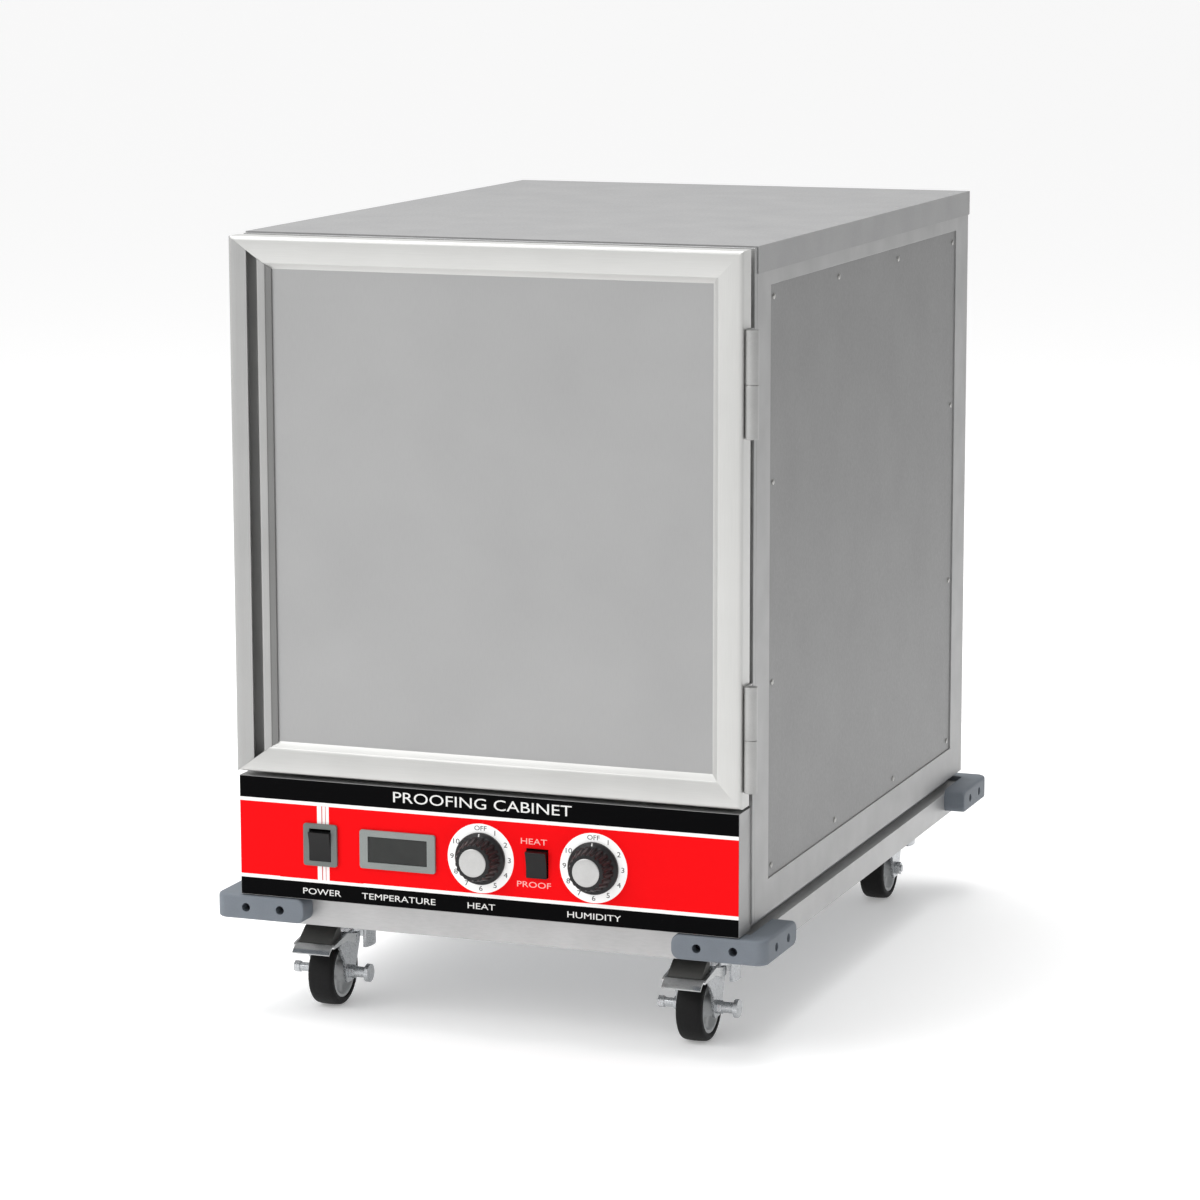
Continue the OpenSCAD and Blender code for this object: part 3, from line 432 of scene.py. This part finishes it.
# The handle is a shade darker and duller than the rails, which sets the pull off from them.
pull_finish = textured("satin_anodised_pull", "#B2B2B1", "#A8A8A7", 0.7 * mm, (1, 1, 60), 80 * mm, (0.35, 0.45), 0.05,
                       Metallic=0.5)
# The land beside the sheet is duller, and its colour is painted darker still as painted shade, since it slopes away
# from the light towards the sheet.
land_painted_shade = textured("dull_anodised_land_painted_shade", "#828281", "#7A7A79", 0.7 * mm, (1, 1, 60), 80 * mm, (0.45, 0.55),
                       0.05, Metallic=0.5)
pull = door_rail("handle_stile_extrusion", handle_outline, low_left, high_left, (in_left, in_low), (in_left, in_high),
                 stile, "door_handle_stile", pull_finish)
pull.data.materials.append(land_painted_shade)
centres = np.empty(len(pull.data.polygons) * 3)
pull.data.polygons.foreach_get("center", centres)
centres = centres.reshape(-1, 3)
# Faces of the land past land_from and below land_above take the darker material, which is painted shade.
land_from, land_above = 39.2 * mm, 10 * mm
pull.data.polygons.foreach_set("material_index", ((centres[:, 0] > door_low[0] + land_from)
                                                  & (centres[:, 1] < door_high[1] - land_above)).astype(np.int32))
# The door's sheet has long faint vertical streaks and broad clouds, darker than its frame.
door_sheet = textured("satin_aluminium_door_sheet", "#A6A6A6", "#9E9E9E", 0.9 * mm, (1, 1, 12), 120 * mm, (0.4, 0.5),
                      0.06, Metallic=0.5)
# The inner sheet is polished stainless like the liner, with upright streaks.
inner_sheet = textured("number_four_stainless_door_liner", "#CFCFCC", "#C6C6C3", 0.9 * mm, (1, 1, 30),
                       rough=(0.26, 0.34), bump=0.04, Metallic=0.9)
dress(door_sheet, "door_panel_outer")
eased("door_panel_inner", inner_sheet, 0.4 * mm)
# The gasket is a soft black with hardly any shine.
gasket_rubber = textured("black_silicone_gasket", "#26272A", "#1A1B1D", 1.5 * mm, rough=(0.6, 0.75))
eased("door_gasket", gasket_rubber, 2.2 * mm, 4)

# ---- Hinges ----
# Lift-off hinges cast in satin zinc: a barrel in two knuckles, with leaves screwed to the jamb and the door's edge.
# Cast zinc is a little cloudy and darker than the extrusions beside it.
hinge_zinc = textured("satin_cast_zinc_hinge", "#AFAFAE", "#A0A09F", 1.4 * mm, clouds=25 * mm, rough=(0.32, 0.45),
                      Metallic=0.7)
eased("hinge_jamb_leaves", hinge_zinc, 0.5 * mm)
eased("hinge_door_leaves", hinge_zinc, 0.5 * mm)

# ---- Heat module ----
# A folded aluminium front carries the controls, and behind it a galvanised tray, which slides into the base, holds the
# thermostats, the strip heater and the blower.
# The heater's fins are tinted brown and blue by heat, in blotches.
heated_fins = textured("heat_tinted_steel_fins", "#8A7F77", "#5E5A5C", 6 * mm, rough=(0.35, 0.55), Metallic=0.8)
eased("module_fascia", frame_sheet, 0.5 * mm)
eased("module_tray", deck_zinc, 0.5 * mm)
eased("thermostats", black_nylon, 0.8 * mm)
eased("mode_switch_case", black_nylon, 0.6 * mm)
eased("strip_heater", heated_fins, 0.2 * mm)
eased("blower_housing", deck_zinc, 0.5 * mm)
eased("blower_wheel", deck_zinc, 0.15 * mm)

# ---- Printed film ----
# One polyester film, glued to the folded front, covers it. It is screen-printed on its back: black bands, white lines
# and a red field, with white stripes through the power switch.
film_low, film_high = (np.array(c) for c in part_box("control_overlay"))
lines_up = [0, 18.2, 22.2, 103, 107, 200]
red_from, red_to, stripe_reach = 22.2 * mm, 103 * mm, 49 * mm
# The inks are flat and even under a satin film with a trace of orange peel.
film, film_shader, film_place = finish("screen_printed_polyester", Roughness=0.45, Specular_IOR_Level=0.04)
parts = add(film, "ShaderNodeSeparateXYZ", links={"Vector": film_place})


def bands(material, value, low, edges, colours):
    """Constant colours between edges, in millimetres above low, as printed inks lie side by side."""
    span = edges[-1]
    share = add(material, "ShaderNodeMapRange", {"From Min": low, "From Max": low + span * mm}, {"Value": value})
    ramp = add(material, "ShaderNodeValToRGB", links={"Fac": share.outputs["Result"]})
    ramp.color_ramp.interpolation = "CONSTANT"
    steps = ramp.color_ramp.elements
    while len(steps) < len(colours):
        steps.new(1.0)
    for step, edge, colour in zip(steps, edges, colours):
        step.position, step.color = edge / span, rgb(colour)
    return ramp.outputs["Color"]


ink_red, ink_black, ink_white = "#EE0B12", "#020203", "#F6F4F2"
power_low, power_high = (np.array(c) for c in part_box("power_bezel"))
power_x = (power_low[0] + power_high[0]) / 2
across = bands(film, parts.outputs["Z"], film_low[2], lines_up, [ink_black, ink_white, ink_red, ink_white, ink_black])
stripes = bands(film, parts.outputs["X"], power_x - 50 * mm, [0, 45.4, 50.6, 51.6, 54.8, 55.8, 59.2, 62.4, 63.7, 100],
                [ink_red, ink_white, "#C9484C", ink_white, "#C9484C", ink_white, ink_red, ink_red, ink_red])
above = add(film, "ShaderNodeMath", {1: film_low[2] + red_from}, {0: parts.outputs["Z"]}, operation="GREATER_THAN")
below = add(film, "ShaderNodeMath", {1: film_low[2] + red_to}, {0: parts.outputs["Z"]}, operation="LESS_THAN")
right_of = add(film, "ShaderNodeMath", {1: power_x - stripe_reach}, {0: parts.outputs["X"]},
               operation="GREATER_THAN")
left_of = add(film, "ShaderNodeMath", {1: power_x + stripe_reach}, {0: parts.outputs["X"]}, operation="LESS_THAN")
rows = add(film, "ShaderNodeMath", links={0: above.outputs[0], 1: below.outputs[0]}, operation="MULTIPLY")
columns = add(film, "ShaderNodeMath", links={0: right_of.outputs[0], 1: left_of.outputs[0]}, operation="MULTIPLY")
striped = add(film, "ShaderNodeMath", links={0: rows.outputs[0], 1: columns.outputs[0]}, operation="MULTIPLY")
inks = add(film, "ShaderNodeMix", data_type="RGBA")
film.node_tree.links.new(striped.outputs[0], inks.inputs["Factor"])
colour_a, colour_b, colour_out = inks.inputs[6], inks.inputs[7], inks.outputs[2]
film.node_tree.links.new(across, colour_a)
film.node_tree.links.new(stripes, colour_b)
film.node_tree.links.new(colour_out, film_shader.inputs["Base Color"])
peel = add(film, "ShaderNodeTexNoise", {"Scale": 1 / (3 * mm), "Detail": 1.0}, {"Vector": film_place})
peel_bump = add(film, "ShaderNodeBump", {"Strength": 0.04, "Distance": 0.1 * mm}, {"Height": peel.outputs["Fac"]})
film.node_tree.links.new(peel_bump.outputs["Normal"], film_shader.inputs["Normal"])
dress(film, "control_overlay")


def lettering(words, tall, middle, wide=1.38):
    """Shape of a line of plain capitals on the film's front, its middle at (x, z), drawn wider by wide."""
    capital_share, ink_deep, ink_stands = 0.7, 0.04 * mm, 0.05 * mm
    curve = bpy.data.curves.new("words", "FONT")
    curve.body, curve.size, curve.extrude = words, tall / capital_share, ink_deep
    curve.align_x, curve.align_y, curve.resolution_u = "CENTER", "CENTER", 4
    holder = bpy.data.objects.new("words", curve)
    bpy.context.scene.collection.objects.link(holder)
    mesh = bpy.data.meshes.new_from_object(holder.evaluated_get(bpy.context.evaluated_depsgraph_get()))
    place = (Matrix.Translation((middle[0], film_low[1] - ink_stands, middle[1]))
             @ Matrix.Rotation(math.pi / 2, 4, "X") @ Matrix.Diagonal((wide, 1, 1, 1)))
    mesh.transform(place)
    points = np.empty(len(mesh.vertices) * 3)
    mesh.vertices.foreach_get("co", points)
    faces = [tuple(face.vertices) for face in mesh.polygons]
    bpy.data.objects.remove(holder)
    return points.reshape(-1, 3), (), faces


heat_low, heat_high = (np.array(c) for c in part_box("heat_knob"))
humid_low, humid_high = (np.array(c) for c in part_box("humidity_knob"))
display_low, display_high = (np.array(c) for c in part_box("display_bezel"))
mode_low, mode_high = (np.array(c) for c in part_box("mode_rocker"))
heat_x, humid_x = (heat_low[0] + heat_high[0]) / 2, (humid_low[0] + humid_high[0]) / 2
display_x, mode_x = (display_low[0] + display_high[0]) / 2, (mode_low[0] + mode_high[0]) / 2
control_z = (heat_low[2] + heat_high[2]) / 2
label_z, title_z = film_low[2] + 8.6 * mm, film_high[2] - 11 * mm
title_tall, label_tall, mode_tall = 11.5 * mm, 6.6 * mm, 6.2 * mm
# The white ink is a little off white and matt, so the letters stay crisp on the black.
white_ink = textured("white_screen_ink", "#E8E8E6", "#DADAD8", 1 * mm, rough=(0.45, 0.6))
show("title_and_labels", mesh_of(
    "title_and_labels",
    lettering("PROOFING CABINET", title_tall, (-3 * mm, title_z), 1.33),
    lettering("POWER", label_tall, (power_x, label_z)), lettering("TEMPERATURE", label_tall, (display_x, label_z)),
    lettering("HEAT", label_tall, (heat_x, label_z)), lettering("HUMIDITY", label_tall, (humid_x, label_z))),
    [white_ink], "heat_module")
# Printed thinly over the red, the white ink turns pink.
pink_ink = textured("thin_white_ink_over_red", "#F9B9B4", "#F4A8A4", 1 * mm, rough=(0.45, 0.6))
show("mode_labels", mesh_of(
    "mode_labels", lettering("HEAT", mode_tall, (mode_x - 4 * mm, control_z + 22.5 * mm)),
    lettering("PROOF", mode_tall, (mode_x - 4 * mm, control_z - 24 * mm))),
    [pink_ink], "heat_module")

# Each dial is a white disc printed with OFF and the numbers 1 to 10, a twelfth of a turn apart.
# The disc is a clean white with a slight sheen, and its figures are a flat black.
dial_white = textured("white_dial_print", "#FFFFFE", "#F9F9F8", 1.5 * mm, rough=(0.35, 0.45))
dial_black = textured("black_dial_print", "#17171A", "#0C0C0E", 1 * mm, rough=(0.4, 0.5))
plates, figures = [], []
figure_r, figure_step, figure_forward = 32.6 * mm, 30, 0.2 * mm  # circle of the numbers, degrees apart, off the film
for dial_x in (heat_x, humid_x):
    centre = (dial_x, film_low[1], control_z)
    plates.append(turned(np.array([4.6, 37.2, 37.5, 37.5, 4.6]) * mm, np.array([0.22, 0.22, 0.12, 0, 0]) * mm, centre,
                         (0, -1, 0), 96))
    figures.append(lettering("OFF", 5 * mm, (dial_x, control_z + 32.4 * mm), 1.15))
    for number in range(1, 11):
        angle = math.radians(figure_step * number)
        at = (dial_x + figure_r * math.sin(angle), control_z + figure_r * math.cos(angle))
        figures.append(lettering(str(number), 5.4 * mm, at, 1.2))
figures = [(points - np.array([0, figure_forward, 0]), quads, ends) for points, quads, ends in figures]
show("dial_plates", mesh_of("dial_plates", *plates), [dial_white], "heat_module")
show("dial_figures", mesh_of("dial_figures", *figures), [dial_black], "heat_module")

# ---- Switches and display ----
# Both rockers are glossy black mouldings with a dished face that ends in a ridge. The power switch snaps into a grey
# moulded frame, and the display is a smoked window in a lighter one, both clipped into the folded front.
# The frames are matt grey with a fine moulded grain.
grey_moulding = textured("moulded_grey_abs", "#6F7572", "#5C625F", 1 * mm, rough=(0.45, 0.6))
bright_moulding = textured("satin_grey_display_frame", "#8D9290", "#7A7F7D", 1 * mm, rough=(0.4, 0.55))
# The rockers are smooth and black, with a soft light along the ridge.
gloss_black = textured("gloss_black_abs", "#0C0C0D", "#070708", 1.5 * mm, rough=(0.3, 0.4), bump=0.03,
                       Specular_IOR_Level=0.3)
# The window is dark grey-green with slow clouds, as smoked acrylic is over an unlit display.
smoked, smoked_shader, smoked_place = finish("smoked_acrylic_window", Roughness=0.2, Specular_IOR_Level=0.3)
smoked_noise = add(smoked, "ShaderNodeTexNoise", {"Scale": 1 / (20 * mm)}, {"Vector": smoked_place})
smoked_tone = add(smoked, "ShaderNodeValToRGB", links={"Fac": smoked_noise.outputs["Fac"]})
smoked_tone.color_ramp.elements[0].color, smoked_tone.color_ramp.elements[1].color = rgb("#1F2120"), rgb("#2B2D2B")
smoked.node_tree.links.new(smoked_tone.outputs["Color"], smoked_shader.inputs["Base Color"])
eased("power_bezel", grey_moulding, 0.5 * mm, 3)
eased("display_bezel", bright_moulding, 0.5 * mm, 3)
eased("display_window", smoked, 0.3 * mm)
eased("power_rocker", gloss_black, 0.6 * mm, 3)
eased("mode_rocker", gloss_black, 0.6 * mm, 3)

# ---- Knobs ----
# Each knob is moulded in black phenolic and pressed on its shaft: a skirt with a pointer line, a fluted grip that
# narrows to the front, and a bright spun aluminium cap set in its face.
# Phenolic is a deep black with a dull shine on the flutes.
phenolic = textured("moulded_black_phenolic", "#131315", "#0B0B0D", 1.2 * mm, rough=(0.3, 0.42),
                    Specular_IOR_Level=0.35)
# The cap is the one bright spot on the knob, pale and satin.
spun_cap = textured("spun_aluminium_cap", "#C2C2C1", "#B2B2B1", 0.8 * mm, (1, 1, 1), 15 * mm, (0.28, 0.4),
                    Metallic=0.6)
knob_long, skirt_r = 22.5 * mm, 28 * mm  # the size at which the outline below is drawn
cap_depth, flutes, around, flute_deep = 1.0 * mm, 20, 320, 1.7 * mm
for name, low, high, body in (("heat_knob", heat_low, heat_high, "heat_dial"),
                              ("humidity_knob", humid_low, humid_high, "humidity_dial")):
    skirt = (high[0] - low[0]) / 2
    base = film_low[1] - 0.6 * mm
    front = base - low[1]
    centre = ((low[0] + high[0]) / 2, base, control_z)
    up = np.array([0, 0, 1.2, 2.4, 3.2, 3.9, 4.4, 4.8, 5.6, 7, 9, 11, 13, 15, 17, 19, 20.6, 21.6, 22.2, 22.5,
                   22.5]) * mm
    up = up * (front - cap_depth) / knob_long
    out = np.array([0, 28, 28, 28, 27.8, 27.2, 26.2, 24.8, 24, 23.5, 23, 22.5, 22, 21.5, 21.1, 20.7, 20.3, 19.8, 19,
                    17.6, 0]) * mm * skirt / skirt_r
    angle = np.linspace(0, 2 * np.pi, around, endpoint=False)[:, None]
    flute = np.clip((np.cos(flutes * angle) + 0.15) / 1.15, 0, 1) ** 0.8
    run_in, run_out = np.clip((up - 4.6 * mm) / (2 * mm), 0, 1), np.clip((front - 0.9 * mm - up) / (1.5 * mm), 0, 1)
    depth = flute_deep * run_in * run_out
    grip = turned(np.maximum(out[None] - flute * depth[None], 0), np.tile(up, (around, 1)), centre, (0, -1, 0))
    shaft = turned(np.array([0, 3, 3, 0]) * mm, np.array([-11.9, -11.9, 0.2, 0.2]) * mm, centre, (0, -1, 0), 24)
    show(f"{name}_grip", mesh_of(f"{name}_grip", grip, shaft), [phenolic], body, [name])
    cap = turned(np.array([0, 15, 15, 14.5, 13.8, 9, 5, 0]) * mm,
                 np.array([-0.3, -0.3, 0.25, 0.6, 0.75, 0.82, 0.88, 0.9]) * mm + front - cap_depth, centre,
                 (0, -1, 0), 96)
    show(f"{name}_cap", mesh_of(f"{name}_cap", cap), [spun_cap], body)
    # The pointer is a white wedge over the slope of the skirt: forward of the knob's foot, then up from its axis.
    half_line = 0.7 * mm
    ridge = np.array([(centre[0] + end * half_line, base - forward, control_z + up_from) for forward, up_from in
                      ((2.0 * mm, 28.0 * mm), (4.05 * mm, 27.25 * mm), (5.1 * mm, 24.6 * mm), (2.0 * mm, 24.0 * mm))
                      for end in (-1, 1)]).reshape(4, 2, 3).transpose(1, 0, 2)
    show(f"{name}_pointer", mesh_of(f"{name}_pointer", swept(ridge)), [white_ink], body)

# ---- Casters ----
# Plates, raceways and forks are pressed steel with bright zinc, bolted under the rails. The wheel is a black rubber
# tread moulded on a light grey hub. The front casters have a bent brake lever with a rubber foot pad.
# Bright zinc is smooth and cool, with small clouds.
zinc_steel = textured("bright_zinc_steel", "#C8CACC", "#B2B5B8", 2 * mm, clouds=18 * mm, rough=(0.2, 0.36),
                      Metallic=0.85)
# The tread is nearly black and dull, and the hub a pale, matt grey.
tread_rubber = textured("black_rubber_tread", "#0A0A0B", "#050505", 1.5 * mm, rough=(0.5, 0.68), bump=0.15,
                        Specular_IOR_Level=0.25)
hub_nylon = textured("light_grey_nylon_hub", "#BDBFC0", "#B0B2B3", 1.5 * mm, rough=(0.4, 0.55))
# The foot pad is a worn dark grey, and the lever is the brightest zinc on the caster.
pad_rubber = textured("dark_rubber_pad", "#454543", "#343432", 1.5 * mm, rough=(0.5, 0.65), bump=0.2)
lever_steel = textured("bright_zinc_lever", "#D2D3D3", "#B9BBBC", 1.6 * mm, clouds=12 * mm, rough=(0.14, 0.26),
                       Metallic=0.95)
eased("caster_plates", zinc_steel, 0.4 * mm)
for corner in ("front_left", "front_right", "rear_left", "rear_right"):
    eased(f"fork_{corner}", zinc_steel, 0.4 * mm)
    low, high = (np.array(c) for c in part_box(f"wheel_{corner}"))
    centre = (low + high) / 2
    wheel_r, half_hub = (high[2] - low[2]) / 2, (high[0] - low[0]) / 2
    half_tread, tread_in, shoulder_r, crown_high = 14.5 * mm, wheel_r - 9 * mm, 4.4 * mm, 0.5 * mm
    # The tread's outline: side, shoulder, then a slightly crowned face.
    shoulder = np.linspace(0, np.pi / 2, 9)
    across_face = np.linspace(-1, 1, 41)
    crowned = wheel_r - crown_high * across_face ** 2
    side_r = np.concatenate([[tread_in, tread_in + 0.8 * mm], wheel_r - 5 * mm + shoulder_r * np.sin(shoulder)])
    side_x = np.concatenate([[0.9 * mm, 0], shoulder_r * (1 - np.cos(shoulder))]) - half_tread
    face_x = across_face * (half_tread - 4.6 * mm)
    outline_r = np.concatenate([side_r, crowned[1:-1], side_r[::-1], [tread_in]])
    outline_x = np.concatenate([side_x, face_x[1:-1], -side_x[::-1], [side_x[0]]])
    tread = turned(outline_r, outline_x, centre, (1, 0, 0), 120)
    show(f"tread_{corner}", mesh_of(f"tread_{corner}", tread, sharp=50), [tread_rubber], f"roller_{corner}",
         [f"wheel_{corner}"])
    # Hub: rim, dished web with six pockets and ribs between them, and a boss round the axle. Its outline is drawn for a
    # radius of 29 and a half width of 17.2, and scaled to the wheel.
    reach_r = np.array([4.05, 8.6, 9.6, 10.4, 11.4, 12.4, 13.2, 15, 17, 19, 21, 22.6, 23.6, 24.4, 25.2, 26, 28,
                        28.9]) * mm
    reach_r = reach_r * tread_in / (29 * mm)
    rise = np.array([17.2, 17.2, 16.7, 13, 10.5, 9.6, 9.4, 9.3, 9.3, 9.3, 9.3, 9.4, 9.8, 11, 12.6, 13.4, 13.5,
                     13.4]) * mm
    rise = rise * half_hub / (17.2 * mm)
    pockets, pocket_deep, pocket_edge, hub_steps = 6, 2.6 * mm, 1.2 * mm, 144
    pocket_in, pocket_out = 12 * mm, 23.4 * mm
    angle = np.linspace(0, 2 * np.pi, hub_steps, endpoint=False)[:, None]
    pocket = np.clip((np.cos(pockets * angle) + 0.55) * 4, 0, 1)
    ring = np.clip((reach_r - pocket_in) / pocket_edge, 0, 1) * np.clip((pocket_out - reach_r) / pocket_edge, 0, 1)
    outer_x = rise[None] - pocket_deep * pocket * ring[None]
    reach_all = np.tile(reach_r, (hub_steps, 1))
    radius = np.concatenate([reach_all, reach_all[:, ::-1], reach_all[:, :1]], 1)
    place = np.concatenate([outer_x, -outer_x[:, ::-1], outer_x[:, :1]], 1)
    hub = turned(radius, place, centre, (1, 0, 0))
    show(f"hub_{corner}", mesh_of(f"hub_{corner}", hub, sharp=40), [hub_nylon], f"roller_{corner}")
pad_half, pad_deep = 19.5 * mm, 39 * mm
for side in ("left", "right"):
    lever = eased(f"brake_{side}", lever_steel, 0.4 * mm)
    low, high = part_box(f"brake_{side}")
    middle = (low.x + high.x) / 2
    lever.data.materials.append(pad_rubber)
    for face in lever.data.polygons:
        spread = max(abs(lever.data.vertices[corner].co.x - middle) for corner in face.vertices)
        face.material_index = int(spread < pad_half and face.center.y < low.y + pad_deep)

# ---- Studio: pale floor, soft light, camera ----
# A wide pale floor and a sky that is brighter to the left and above light the cabinet softly, with two large lamps. The
# camera sees the sky as white, so the cabinet stands on a clean background.
floor_size, floor_glow = 40.0, 0.25
floor_mesh = bpy.data.meshes.new("studio_floor")
floor_mesh.from_pydata([(-floor_size, -floor_size, 0), (floor_size, -floor_size, 0), (floor_size, floor_size, 0),
                        (-floor_size, floor_size, 0)], [], [(0, 1, 2, 3)])
floor = bpy.data.objects.new("studio_floor", floor_mesh)
bpy.context.scene.collection.objects.link(floor)
floor_paint, floor_shader, _ = finish("pale_studio_floor", Roughness=0.9)
floor_shader.inputs["Base Color"].default_value = rgb("#F4F4F4")
floor_shader.inputs["Emission Color"].default_value = (1, 1, 1, 1)
floor_shader.inputs["Emission Strength"].default_value = floor_glow
floor_mesh.materials.append(floor_paint)

world = bpy.data.worlds.new("studio_air")
world.use_nodes = True
sky = world.node_tree.nodes["Background"]
heading = add(world, "ShaderNodeTexCoord").outputs["Generated"]
toward = add(world, "ShaderNodeVectorMath", {1: (-0.78, -0.2, 0.59)}, {0: heading}, operation="DOT_PRODUCT")
glow = add(world, "ShaderNodeMapRange", {"From Min": -1.0, "From Max": 1.0, "To Min": 0.02, "To Max": 1.08},
           {"Value": toward.outputs["Value"]})
seen = add(world, "ShaderNodeLightPath").outputs["Is Camera Ray"]
strength = add(world, "ShaderNodeMix", {"B": 1.0}, {"Factor": seen, "A": glow.outputs["Result"]}, data_type="FLOAT")
world.node_tree.links.new(strength.outputs["Result"], sky.inputs["Strength"])
sky.inputs["Color"].default_value = (1, 1, 1, 1)
bpy.context.scene.world = world


def lamp(name, power, size, place, target=(0, 0, 0.42)):
    """A soft square lamp that faces the cabinet."""
    light = bpy.data.lights.new(name, "AREA")
    light.energy, light.size = power, size
    holder = bpy.data.objects.new(name, light)
    bpy.context.scene.collection.objects.link(holder)
    holder.location = place
    holder.rotation_euler = (Vector(target) - Vector(place)).to_track_quat("-Z", "Y").to_euler()


lamp("key", 60, 2.8, (-2.4, -3.0, 3.2))
lamp("top", 90, 3.0, (-0.3, 0.4, 3.6))

yaw, pitch, roll = (math.radians(a) for a in (20.476, 9.871, -0.121))
ahead = np.array([-math.sin(yaw) * math.cos(pitch), math.cos(yaw) * math.cos(pitch), -math.sin(pitch)])
level_right = np.array([math.cos(yaw), math.sin(yaw), 0])
level_up = np.cross(level_right, ahead)
right = math.cos(roll) * level_right + math.sin(roll) * level_up
upward = math.cos(roll) * level_up - math.sin(roll) * level_right
lens = bpy.data.cameras.new("studio_camera")
lens.lens, lens.sensor_width, lens.sensor_fit = 123.956, 36.0, "HORIZONTAL"
camera = bpy.data.objects.new("studio_camera", lens)
bpy.context.scene.collection.objects.link(camera)
stand = np.eye(4)
stand[:3, 0], stand[:3, 1], stand[:3, 2], stand[:3, 3] = right, upward, -ahead, (1.59794, -4.34839, 1.21155)
camera.matrix_world = Matrix(stand.tolist())
bpy.context.scene.camera = camera
bpy.context.scene.view_settings.view_transform = "Standard"
